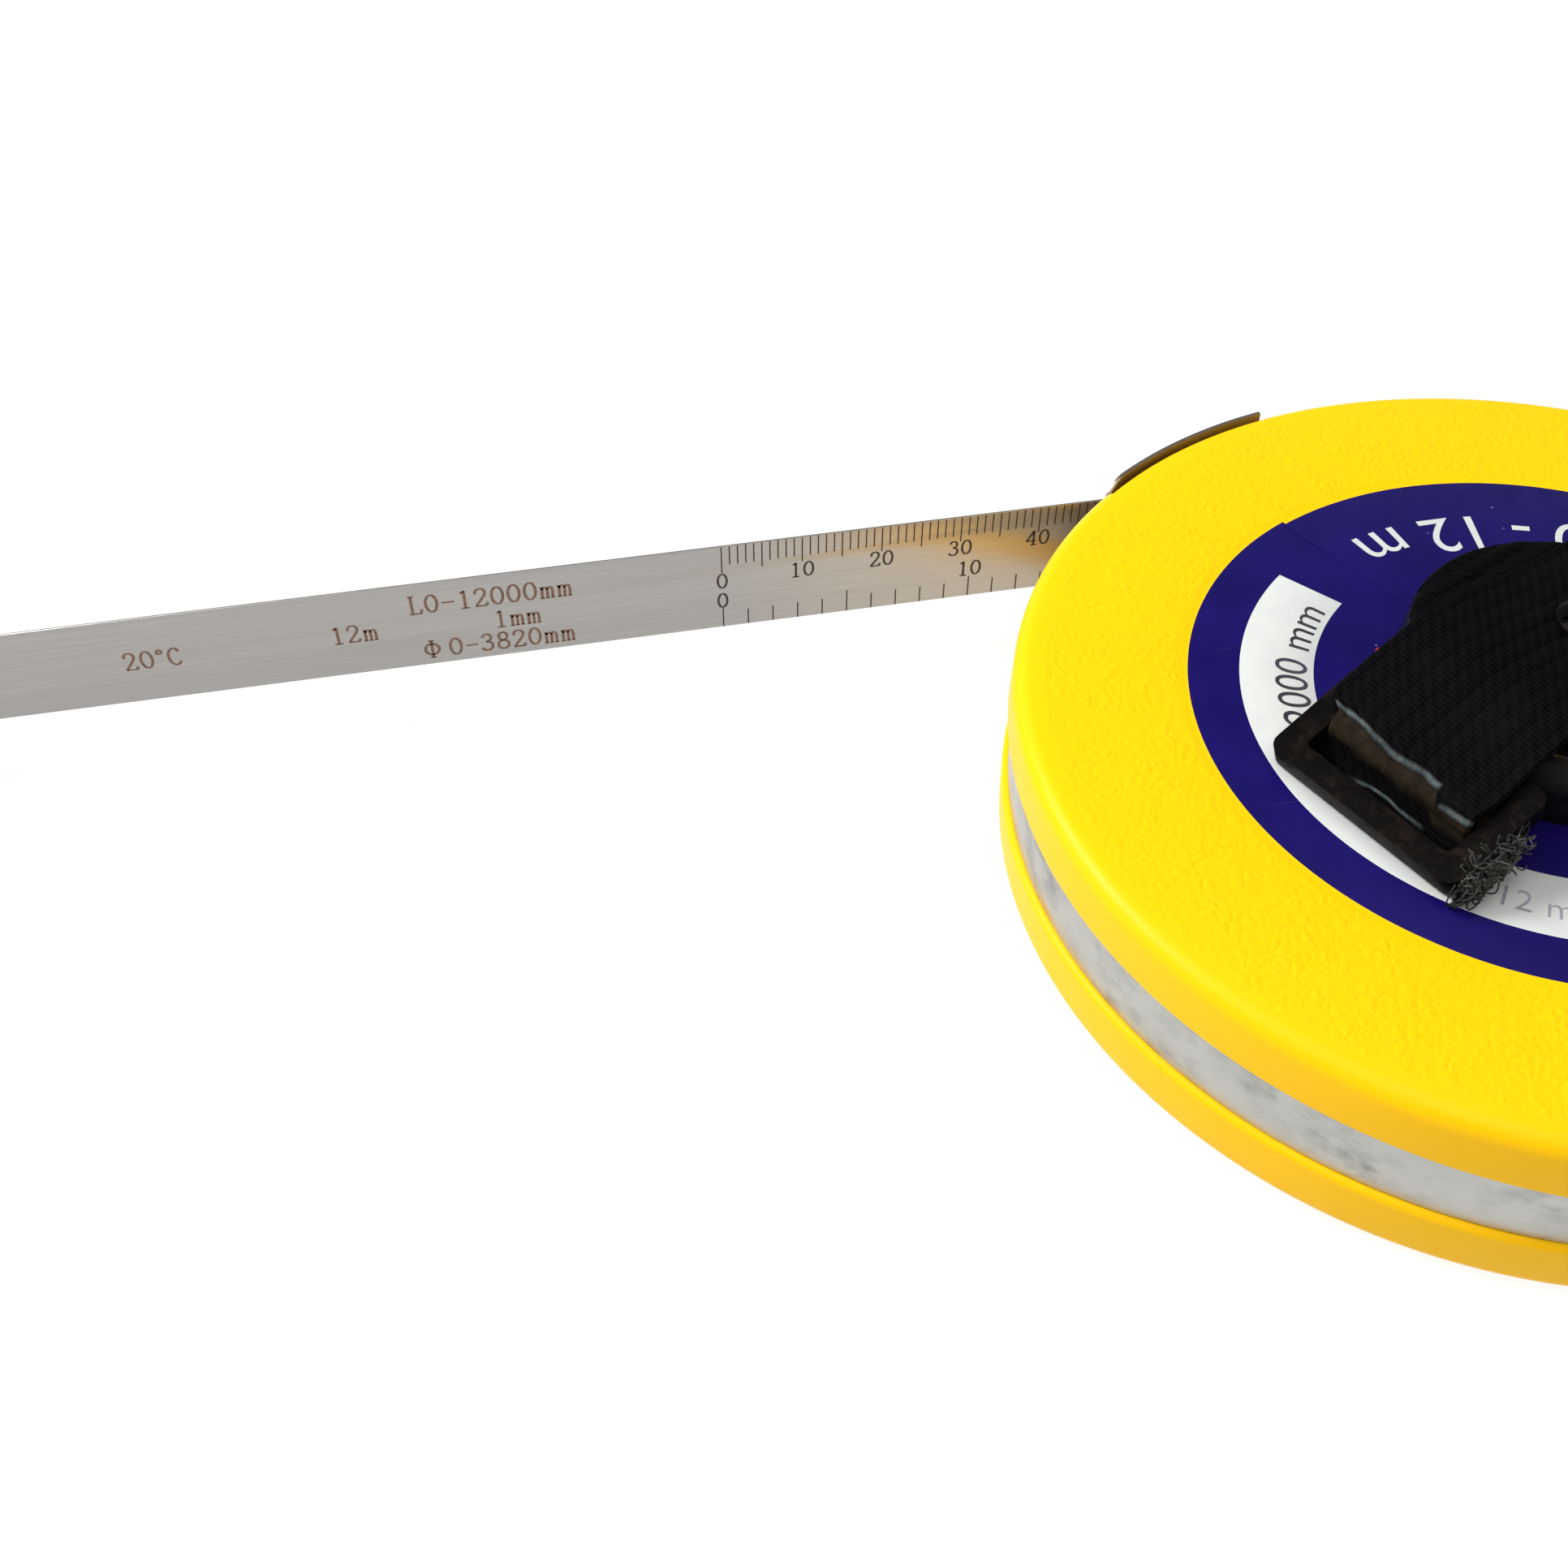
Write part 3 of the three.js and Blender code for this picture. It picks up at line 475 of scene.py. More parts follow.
def yellow_plastic():
    """Yellow plastic, with a leathery grain on the flat of the top face and of the underside."""
    s = Shader("yellow_plastic", (0.93, 0.55, 0.001), 0.38, shine=0.12)
    vector = s.place()
    radius, height = s.radius_and_height()
    face = s.blend(s.noise(vector, 0.05, 3), (0.95, 0.56, 0.0006), (0.93, 0.525, 0.0006))
    # Painted shade: towards the rim the colour turns a little darker and more orange, so the side
    # walls of both shells read as shaded.
    base = s.blend(s.spread(radius, 55.4, 57.7), face, (0.92, 0.51, 0.0008))
    specks = s.patches(vector, 1.3, 2, 0.68, 0.76)
    s.colour(s.blend(s.times(specks, 0.12), base, (0.64, 0.34, 0.002)))
    s.rough(s.patches(vector, 0.35, 4, 0.3, 0.7, 0.34, 0.46))
    drift = s.node("TexNoise", {"Vector": vector, "Scale": 0.55, "Detail": 4.0}).outputs["Color"]
    warped = s.node("VectorMath", {0: vector, 1: drift}, operation="ADD").outputs["Vector"]
    creases = s.spread(s.voronoi(warped, 0.75, "DISTANCE_TO_EDGE"), 0.0, 0.32)
    worn = s.patches(vector, 0.3, 3, 0.35, 0.65, 0.15, 1.0)
    grain = s.math("ADD", s.times(creases, worn), s.times(s.noise(vector, 1.3, 5), 1.5))
    top = s.times(s.spread(height, 22.35, 22.45), s.spread(radius, 39.2, 40.0))
    flat = s.math("MAXIMUM", top, s.spread(height, 0.15, 0.05))
    mask = s.times(s.spread(radius, 55.6, 54.2), flat)
    fine = s.bump(s.noise(vector, 2.4, 5), 0.02, 0.35)
    s.bump(s.times(grain, mask), 0.1, 0.65, fine)
    return s.material


def satin_steel(name, tone, smudges):
    s = Shader(name, tone, 0.36, 0.92)
    vector = s.place()
    cloud = s.patches(vector, 0.09, 5, 0.42, 0.62, roughness=0.6)
    spots = s.patches(s.place((1, 1, 1.6)), 0.26, 4, 0.42, 0.68, roughness=0.6)
    dark = tuple(value * 0.45 for value in tone)
    s.colour(s.blend(s.times(s.times(cloud, spots), smudges), tone, dark))
    s.rough(s.patches(vector, 0.25, 5, 0.3, 0.7, 0.28, 0.48))
    s.bump(s.noise(vector, 1.1, 5), 0.03, 0.3)
    return s.material


def polished_steel():
    s = Shader("polished_steel", (0.6, 0.59, 0.57), 0.2, 1.0)
    cloud = s.patches(s.place(), 0.5, 4, 0.35, 0.75)
    s.colour(s.blend(cloud, (0.64, 0.63, 0.61), (0.5, 0.48, 0.45)))
    scratches = s.noise(s.place((0.15, 3.0, 1.0), 31), 1.6, 5, 0.7)
    s.rough(s.spread(scratches, 0.3, 0.7, 0.14, 0.32))
    s.bump(scratches, 0.01, 0.25)
    return s.material


def tape_steel():
    """Brushed steel, with a painted golden reflection of the yellow case on the blade's inner face
    near the mouth.
    """
    s = Shader("tape_steel", (0.4, 0.37, 0.34), 0.36, 0.88)
    streaks = s.noise(s.place((0.035, 1, 5.5)), 1.4, 6, 0.7)
    fine = s.noise(s.place((0.12, 1, 14)), 1.1, 4, 0.7)
    both = s.math("ADD", s.times(streaks, 0.6), s.times(fine, 0.4))
    share = s.spread(both, 0.34, 0.66)
    base = s.blend(share, (0.33, 0.315, 0.298), (0.455, 0.436, 0.414))
    cloud = s.patches(s.place((0.3, 1, 1)), 0.12, 3, 0.4, 0.75, 0.0, 0.3)
    base = s.blend(cloud, base, (0.35, 0.33, 0.305))
    parts = s.position()
    # Painted reflection: near the mouth the inner face is tinted golden, like the yellow case
    # mirrored in it.
    near_mouth = s.spread(parts["X"], -82.0, -54.0, 0.0, 0.75)
    inner_face = s.spread(parts["Y"], 49.12, 49.08)
    case_reflection = s.blend(share, (0.43, 0.37, 0.295), (0.59, 0.505, 0.4))
    s.colour(s.blend(s.times(near_mouth, inner_face), base, case_reflection))
    s.rough(s.spread(both, 0.3, 0.7, 0.3, 0.44))
    s.bump(both, 0.012, 0.5)
    return s.material


def etched(name, colour, worn):
    s = Shader(name, colour, 0.6, 0.15)
    patches = s.noise(s.place(), 2.2, 4, 0.65)
    s.colour(s.blend(s.spread(patches, 0.38, 0.68), colour, worn))
    s.rough(s.spread(patches, 0.3, 0.7, 0.5, 0.72))
    s.bump(patches, 0.01, 0.4)
    return s.material


def printed(name, colour, worn, roughness=0.4):
    s = Shader(name, colour, roughness)
    vector = s.place()
    s.colour(s.blend(s.patches(vector, 0.22, 4, 0.4, 0.75), colour, worn))
    ends = (0.35, 0.7, roughness - 0.06, roughness + 0.1)
    s.rough(s.patches(s.place((0.08, 2.2, 1), 57), 0.9, 5, *ends, roughness=0.75))
    s.bump(s.noise(vector, 0.9, 5), 0.02, 0.25)
    return s.material


def blue_label():
    s = Shader("blue_label", (0.014, 0.007, 0.12), 0.34, shine=0.1)
    vector = s.place()
    cloud = s.patches(vector, 0.12, 4, 0.35, 0.7)
    base = s.blend(cloud, (0.0075, 0.0032, 0.1), (0.005, 0.002, 0.075))
    dust = s.times(s.spread(s.voronoi(vector, 0.26), 0.035, 0.02), 0.4)
    along = s.place((0.05, 2.4, 1), 62)
    scratches = s.patches(along, 0.8, 5, 0.66, 0.74, 0.0, 0.07, roughness=0.75)
    s.colour(s.blend(s.math("MAXIMUM", dust, scratches), base, (0.6, 0.6, 0.75)))
    s.rough(s.patches(vector, 0.5, 4, 0.3, 0.7, 0.28, 0.42))
    s.bump(s.noise(vector, 1.4, 5), 0.015, 0.35)
    return s.material


def moulded(name, colour, worn, roughness, depth=0.02, scale=1.3, shine=0.5):
    s = Shader(name, colour, roughness, shine=shine)
    vector = s.place()
    s.colour(s.blend(s.patches(vector, 0.45, 5, 0.5, 0.78, roughness=0.65), colour, worn))
    s.rough(s.patches(vector, 0.8, 4, 0.3, 0.7, roughness - 0.07, roughness + 0.12))
    s.bump(s.noise(vector, scale, 5), depth, 0.4)
    return s.material


def black_webbing():
    """Woven webbing: a painted brown reflection going into the buckle, painted grey highlights on
    both bends.

    In the strap's UVs, X runs across the webbing and Y along it, both in millimetres.
    """
    s = Shader("black_webbing", (0.004, 0.004, 0.005), 0.62, shine=0.015)
    cloth = s.node("UVMap", uv_map="thread").outputs["UV"]

    def threads(direction, pitch, distortion):
        inputs = {"Vector": cloth, "Scale": 2 * math.pi / (20 * pitch), "Distortion": distortion}
        inputs["Detail"] = 1.0
        wave = s.node("TexWave", inputs, wave_type="BANDS", bands_direction=direction)
        return wave.outputs["Fac"]

    def near(value, far, close):
        """1 where the value is within close of zero, and 0 from far on."""
        return s.spread(s.math("ABSOLUTE", value), far, close)

    weave = s.times(threads("X", 0.42, 0.4), threads("Y", 0.55, 0.6))
    weave = s.math("ADD", weave, s.times(threads("DIAGONAL", 0.8, 0.8), 0.35))
    fuzz = s.noise(cloth, 2.2, 5, 0.7)
    height = s.math("ADD", weave, s.times(fuzz, 0.5))
    raised = s.spread(height, 0.25, 1.25)
    tone = s.blend(raised, (0.0014, 0.0013, 0.0016), (0.0052, 0.0049, 0.0056))
    faded = s.patches(cloth, 0.16, 4, 0.45, 0.8, 0.0, 0.35)
    tone = s.blend(faded, tone, (0.0068, 0.0064, 0.0068))
    parts = s.node("SeparateXYZ", {"Vector": cloth}).outputs
    wander = s.patches(cloth, 0.12, 2, 0.3, 0.7, -0.4, 0.4)
    jog = s.spread(parts["X"], -5.0, -5.9, 0.0, 1.3)
    crest = s.math("SUBTRACT", parts["Y"], CREST_DISTANCE)
    past_crest = s.math("SUBTRACT", crest, s.math("ADD", wander, jog))
    # Painted reflection and painted shade: the face going down into the buckle is brown for its
    # first 3 mm only, as if the rest lay in shadow. The worn mask just makes this and the
    # highlights below patchy.
    falling = s.times(s.spread(past_crest, 0.2, 0.5), s.spread(past_crest, 3.1, 2.2))
    worn = s.patches(cloth, 0.5, 4, 0.3, 0.6, 0.25, 1.0, roughness=0.65)
    tone = s.blend(s.times(falling, worn), tone, (0.021, 0.0165, 0.0105))
    # Painted highlights: thin grey lines along the crest over the middle bar and along the fold
    # under it, broken at the jog.
    past_fold = s.math("SUBTRACT", past_crest, FOLD_DISTANCE)
    fold_highlight = s.times(near(past_fold, 0.25, 0.05), near(parts["X"], 5.5, 3.0))
    painted_highlight = s.math("MAXIMUM", near(past_crest, 0.36, 0.06), fold_highlight)
    off_jog = s.spread(s.math("ABSOLUTE", s.math("ADD", parts["X"], 5.5)), 0.4, 0.9)
    painted_highlight = s.times(s.times(painted_highlight, off_jog), s.times(worn, 0.8))
    s.colour(s.blend(painted_highlight, tone, (0.11, 0.135, 0.14)))
    s.rough(s.spread(fuzz, 0.3, 0.7, 0.5, 0.74))
    s.bump(height, 0.06, 0.45)
    return s.material


YELLOW = yellow_plastic()
SATIN = satin_steel("satin_steel", (0.47, 0.47, 0.445), 0.75)
PLATE_STEEL = satin_steel("mouth_steel", (0.3, 0.25, 0.2), 0.6)
POLISHED = polished_steel()
TAPE_STEEL = tape_steel()
ETCH = etched("etched_brown", (0.17, 0.085, 0.046), (0.27, 0.165, 0.11))
DARK_ETCH = etched("etched_dark", (0.022, 0.014, 0.011), (0.075, 0.048, 0.032))
BLUE = blue_label()
WHITE_INK = printed("white_ink", (0.6, 0.615, 0.59), (0.55, 0.565, 0.55))
PEN_INK = printed("pen_ink", (0.012, 0.012, 0.018), (0.045, 0.045, 0.06), 0.55)
FAINT_INK = printed("faint_ink", (0.26, 0.26, 0.29), (0.4, 0.4, 0.43), 0.55)
RED_INK = printed("red_ink", (0.45, 0.01, 0.03), (0.3, 0.01, 0.02))
GLOSS_BLACK = moulded(
    "gloss_black", (0.004, 0.004, 0.005), (0.009, 0.008, 0.008), 0.2, 0.015, shine=0.22)
MATT_BLACK = moulded(
    "matt_black", (0.003, 0.0024, 0.0022), (0.018, 0.012, 0.0085), 0.34, 0.06, 0.9, 0.03)
GREY_PLASTIC = moulded("grey_plastic", (0.09, 0.1, 0.11), (0.15, 0.155, 0.16), 0.48)
WEBBING = black_webbing()
FRAY = moulded("frayed_thread", (0.022, 0.025, 0.022), (0.13, 0.14, 0.12), 0.7, 0.01, 3)


def dress(obj, material, body, slot, *nodes):
    """One finished piece: its material, its body and the CAD nodes it stands for. The slot
    argument is not used.
    """
    obj.data.materials.clear()
    obj.data.materials.append(material)
    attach(obj, body)
    if nodes:
        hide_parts(*nodes)


def smoothing_group():
    """Shades every face smooth, and keeps the edges that turn by more than 32 degrees sharp."""
    group = bpy.data.node_groups.new("smooth_round_faces", "GeometryNodeTree")
    group.interface.new_socket("Geometry", in_out="INPUT", socket_type="NodeSocketGeometry")
    group.interface.new_socket("Geometry", in_out="OUTPUT", socket_type="NodeSocketGeometry")
    start, end = group.nodes.new("NodeGroupInput"), group.nodes.new("NodeGroupOutput")
    faces, edges = (group.nodes.new("GeometryNodeSetShadeSmooth") for _ in range(2))
    faces.domain, edges.domain = "FACE", "EDGE"
    edges.inputs["Shade Smooth"].default_value = False
    angle = group.nodes.new("GeometryNodeInputMeshEdgeAngle")
    steep = group.nodes.new("FunctionNodeCompare")
    steep.inputs["B"].default_value = math.radians(32)
    for source, target in (
        (start.outputs[0], faces.inputs["Geometry"]),
        (faces.outputs[0], edges.inputs["Geometry"]),
        (angle.outputs["Unsigned Angle"], steep.inputs["A"]),
        (steep.outputs["Result"], edges.inputs["Selection"]),
        (edges.outputs[0], end.inputs[0]),
    ):
        group.links.new(source, target)
    return group


SMOOTHING = smoothing_group()


def keep_node(name, material, edge):
    """A CAD node that stays: its own material, softened edges and smooth round faces."""
    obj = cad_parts[name]
    obj.data.materials.clear()
    obj.data.materials.append(material)
    weld = obj.modifiers.new("weld", "WELD")
    weld.merge_threshold = 1e-6
    bevel(obj, edge, angle=35)
    obj.modifiers.new("smooth", "NODES").node_group = SMOOTHING


# ---- camera, floor and light

# The camera that was fitted to the photo: angles in degrees, lengths in millimetres.
CAMERA_ANGLES = (-10.434, 46.074, -0.37734)
CAMERA_TARGET = (-82.94, 3.8986, 22.5)
CAMERA_DISTANCE = 192.08
FOCAL_PIXELS = 2314.8
PHOTO_PIXELS = 1932


def add_camera():
    azimuth, elevation, roll = CAMERA_ANGLES
    turn = Matrix()
    for degrees, axis in ((azimuth, "Z"), (90 - elevation, "X"), (roll, "Z")):
        turn = turn @ Matrix.Rotation(math.radians(degrees), 4, axis)
    back = Vector((0, 0, CAMERA_DISTANCE * MM))
    target = Matrix.Translation(Vector(CAMERA_TARGET) * MM)
    camera = link("Camera", bpy.data.cameras.new("Camera"))
    camera.data.lens = camera.data.sensor_width * FOCAL_PIXELS / PHOTO_PIXELS
    camera.data.clip_start = 0.01
    camera.matrix_world = target @ turn @ Matrix.Translation(back)
    scene.camera = camera


def add_area_light(name, place, size, power):
    light = bpy.data.lights.new(name, "AREA")
    light.shape = "DISK"
    light.size = size
    light.energy = power
    obj = link(name, light)
    obj.location = place
    aim = Vector((-0.05, 0.02, 0)) - Vector(place)
    obj.rotation_euler = aim.to_track_quat("-Z", "Y").to_euler()


def add_studio():
    """A soft light overhead, a stronger one behind on the left, and a floor that stays white."""
    world = bpy.data.worlds.new("studio")
    scene.world = world
    world.use_nodes = True
    world.node_tree.nodes["Background"].inputs["Color"].default_value = (1, 1, 1, 1)
    world.node_tree.nodes["Background"].inputs["Strength"].default_value = 0.3
    add_area_light("overhead", (-0.16, -0.12, 0.75), 0.9, 3.6)
    add_area_light("window_side", (-1.05, 0.555, 0.924), 0.6, 24.5)
    s = Shader("floor", (0.16, 0.16, 0.16), 0.75)
    s.colour(s.blend(s.noise(s.place(), 0.02, 2), (0.17, 0.17, 0.17), (0.15, 0.15, 0.15)))
    s.surface.inputs["Emission Color"].default_value = (1, 1, 1, 1)
    s.surface.inputs["Emission Strength"].default_value = 0.86
    floor = block("floor", (-2500, -2500, -20), (2500, 2500, 0))
    floor.data.materials.append(s.material)
    scene.view_settings.view_transform = "Standard"


# ---- case

def mouth_cutters():
    """What the shells leave open: the seat of the mouth plate, and the blade's way through."""
    low, high = -1, CASE_THICKNESS + 1
    ring = [
        (MOUTH_SEAT_RADIUS, low, 0), (CASE_RADIUS + 2, low, 0),
        (CASE_RADIUS + 2, high, 0), (MOUTH_SEAT_RADIUS, high, 0),
    ]
    seat = lathe("seat_cutter", ring, 40, MOUTH_START - 0.4, MOUTH_END - MOUTH_START + 0.8)
    way = block("way_cutter", *zip(MOUTH_WAY_X, MOUTH_WAY_Y, MOUTH_SLOT_Z))
    return seat, way


def add_shells():
    ceiling = CASE_THICKNESS - CASE_WALL
    seam = UPPER_SEAM_Z + GAP / 2
    top = lathe("case_top_shell", [
        (SHELL_HOLE_RADIUS, RECESS_FLOOR_Z, 0.2), (RECESS_RADIUS, RECESS_FLOOR_Z, 0.1),
        (RECESS_RADIUS + 0.05, CASE_THICKNESS, 0.05), (FACE_EDGE_RADIUS, CASE_THICKNESS, 2.1),
        (CASE_RADIUS, seam, 0.55), (CASE_RADIUS - 1.1, seam, 0.2),
        (CASE_RADIUS - 1.15, seam + 0.35, 0.1), (CASE_INNER_RADIUS, seam + 0.35, 0.2),
        (CASE_INNER_RADIUS, ceiling, 0.4), (SHELL_HOLE_RADIUS, ceiling, 0.2),
    ], 288, steps=7)
    cut(top, *mouth_cutters())
    dress(top, YELLOW, "case", "yellow_plastic", "top_shell")
    seam = LOWER_SEAM_Z - GAP / 2
    bottom = lathe("case_bottom_shell", [
        (DISH_RADIUS + 0.5, 0, 0.3), (FACE_EDGE_RADIUS, 0, 2.1), (CASE_RADIUS, seam, 0.9),
        (CASE_RADIUS - 1.6, seam, 0.2), (CASE_INNER_RADIUS, seam - 0.4, 0.1),
        (CASE_INNER_RADIUS, CASE_WALL, 0.4), (DISH_RADIUS + 0.5, CASE_WALL, 0.3),
    ], 288, steps=7)
    holes = []
    for index, degrees in enumerate(CASE_SCREW_ANGLES):
        outline = [(0, -1), (2.3, -1), (2.3, 1.4), (1.4, 1.4), (1.4, 3), (0, 3)]
        hole = lathe(f"hole_{index}", [(*corner, 0) for corner in outline], 32)
        hole.data.transform(Matrix.Translation(polar(CASE_SCREW_CIRCLE, degrees) * MM))
        holes.append(hole)
    cut(bottom, *mouth_cutters(), *holes)
    dress(bottom, YELLOW, "case", "yellow_plastic", "bottom_shell")


def add_band():
    low, high = LOWER_SEAM_Z - 0.18, UPPER_SEAM_Z + 0.1
    inner, edge = BAND_RADIUS - BAND_THICKNESS, BAND_RADIUS - 0.12
    band = lathe("case_rim_band", [
        (inner, low, 0.1), (edge, low, 0.25), (BAND_RADIUS, (low + high) / 2, 0),
        (edge, high, 0.25), (inner, high, 0.1),
    ], 260, MOUTH_END + 0.5, 360 - (MOUTH_END - MOUTH_START) - 1)
    dress(band, SATIN, "case", "satin_steel", "rim_band")


def add_mouth_plate():
    """The curved plate that closes the rim round the tape slot, one column of points per angle."""
    low, high = GAP, CASE_THICKNESS
    reach = math.degrees(MOUTH_CORNER / MOUTH_PLATE_RADIUS)
    angles = {MOUTH_START, MOUTH_END, *MOUTH_SLOT}
    angles |= {MOUTH_START + i * 0.65 for i in range(40)}
    angles |= {MOUTH_END - reach * (1 - math.sin(math.radians(9 * i))) for i in range(11)}
    angles = sorted(round(value, 4) for value in angles)
    rows = []
    for degrees in angles:
        share = max(0.0, (degrees - MOUTH_END + reach) / reach)
        drop = MOUTH_CORNER * (1 - math.sqrt(max(0.0, 1 - share * share)))
        rows.append((low + drop, *MOUTH_SLOT_Z, high - drop))
    verts, faces = [], []
    for radius in (MOUTH_PLATE_RADIUS - MOUTH_PLATE_THICKNESS, MOUTH_PLATE_RADIUS):
        for degrees, row in zip(angles, rows):
            verts += [polar(radius, degrees, z) for z in row]
    back = 4 * len(angles)

    def is_open(i, j):
        inside = MOUTH_SLOT[0] - 0.01 < (angles[i] + angles[i + 1]) / 2 < MOUTH_SLOT[1] + 0.01
        return j == 1 and inside

    filled = {(i, j) for i in range(len(angles) - 1) for j in range(3) if not is_open(i, j)}
    for i, j in filled:
        a, b = 4 * i + j, 4 * (i + 1) + j
        faces.append((a, b, b + 1, a + 1))
        faces.append((back + a, back + a + 1, back + b + 1, back + b))
        for neighbour, (p, q) in (
            ((i - 1, j), (a, a + 1)),
            ((i + 1, j), (b + 1, b)),
            ((i, j - 1), (b, a)),
            ((i, j + 1), (a + 1, b + 1)),
        ):
            if neighbour not in filled:
                faces.append((p, q, back + q, back + p))
    mouth = solid("case_mouth_plate", verts, faces)
    bevel(mouth, 0.12)
    dress(soften(bake(mouth)), PLATE_STEEL, "case", "satin_steel", "mouth_plate")


# ---- label

def ring_sector(name, inner, outer, start, end):
    """Ink printed flush with the label's top."""
    low, top = LABEL_BOTTOM_Z + 0.1, LABEL_TOP_Z
    corners = [(inner, low, 0), (outer, low, 0), (outer, top, 0.01), (inner, top, 0.01)]
    return lathe(name, corners, max(8, int(abs(end - start) * 1.2)), start, end - start, steps=2)


def on_arc(obj, degrees, radius, z, inward=False):
    """Bends flat lettering round the axis, with its tops outward or inward."""
    sign = -1 if inward else 1
    remap(obj, lambda x, y, depth: polar(
        radius + sign * y, degrees - sign * math.degrees(x / radius), z + depth))


def add_label():
    """A printed sticker. Its two ends meet in a small step, where one lies on the other."""
    seam = 116.4
    segments = 240
    verts = []
    for i in range(segments + 1):
        share = i / segments
        degrees = seam + 360.6 * share
        outer = LABEL_RADIUS + 0.3 - 0.5 * share
        lift = 0.05 * max(0.0, (share - 0.97) / 0.03)
        top = LABEL_TOP_Z - 0.02 + lift
        inner = BOSS_RADIUS + 0.03
        foot = CASE_THICKNESS + 0.005
        profile = (
            (inner, LABEL_BOTTOM_Z), (LABEL_FOOT_RADIUS, LABEL_BOTTOM_Z),
            (LABEL_FOOT_RADIUS, foot), (outer, foot), (outer, top - 0.02), (outer - 0.04, top),
            (inner, top),
        )
        verts += [polar(radius, degrees, z) for radius, z in profile]
    faces = swept_faces(len(profile), segments + 1, False)
    label = solid("label_ring", verts, faces, merge=0.0001)
    dress(label, BLUE, "case", "blue_label", "front_label")
    window = ring_sector("label_window", 25.4, 33.3, 129.5, 300.5)
    length = lettering("label_length", "0 - 12 m", 8.8, 0.06)
    on_arc(length, 83.5, 31.9, LABEL_TOP_Z - 0.01, True)
    span = lettering("label_span", "12000 mm", 5.0, 0.04, -0.02, 0.12)
    on_arc(span, 158.5, 26.1, LABEL_TOP_Z + 0.01)
    grade = lettering("label_grade", "12 m", 3.9, 0.03, -0.03)
    on_arc(grade, 239.5, 31.0, LABEL_TOP_Z + 0.01, True)
    dot = ring_sector("label_dot", 18.7, 19.4, 142, 147)
    for obj, ink in (
        (window, WHITE_INK), (length, WHITE_INK), (span, PEN_INK), (grade, FAINT_INK),
        (dot, RED_INK),
    ):
        dress(obj, ink, "case", "blue_label")


# ---- boss, strap and buckle

def strap_frame(along, across, up):
    """A point given along and across the strap, and by its height above the boss top."""
    angle = math.radians(STRAP_ANGLE)
    return Vector((
        along * math.cos(angle) - across * math.sin(angle),
        along * math.sin(angle) + across * math.cos(angle),
        BOSS_TOP_Z + up,
    ))


def rib_height(across, pitch=2.25, depth=0.27):
    """Lengthwise ribs, as broad rounded bars with a narrow valley between them."""
    share = abs((across / pitch) % 1 - 0.5) * 2
    return -depth * share ** 2.6


def add_boss():
    """The boss, with a ribbed patch of webbing moulded into its top."""
    rings = [0.3 * i for i in range(8, 54)]
    outline = [(radius, 0.0) for radius in rings] + [
        (16.5, -0.03), (16.8, -0.13), (17.0, -0.28), (17.13, -0.5), (BOSS_TOP_RADIUS, -0.8),
        (17.5, -3.4), (17.85, -6.2), (BOSS_RADIUS, -8.55), (BOSS_RADIUS - 0.25, -8.8), (5, -8.8),
        (5, -1.5), (2.4, -1.5),
    ]
    segments = 216
    verts = []
    for i in range(segments):
        degrees = 360 * i / segments
        for radius, drop in outline:
            point = polar(radius, degrees, BOSS_TOP_Z + drop)
            if drop > -0.3:
                across = radius * math.sin(math.radians(degrees - STRAP_ANGLE))
                point.z += 1.6 * rib_height(across)
            verts.append(point)
    boss = solid("boss_cap", verts, swept_faces(len(outline), segments, True), 50)
    dress(boss, GLOSS_BLACK, "case", "black_gloss", "strap_boss")
    boss.data.materials.append(WEBBING)
    turn = Matrix.Rotation(-math.radians(STRAP_ANGLE), 2)
    layer = boss.data.uv_layers.new(name="thread")
    for face in boss.data.polygons:
        if face.normal.z > 0.5 and face.center.z > (BOSS_TOP_Z - 1) * MM:
            face.material_index = 1
        for loop in face.loop_indices:
            point = boss.data.vertices[boss.data.loops[loop].vertex_index].co / MM
            along, across = turn @ point.to_2d()
            layer.data[loop].uv = (across, along)


def ease(share):
    """A smooth step from 0 to 1 as share goes from 0 to 1."""
    share = min(1.0, max(0.0, share))
    return share * share * (3 - 2 * share)


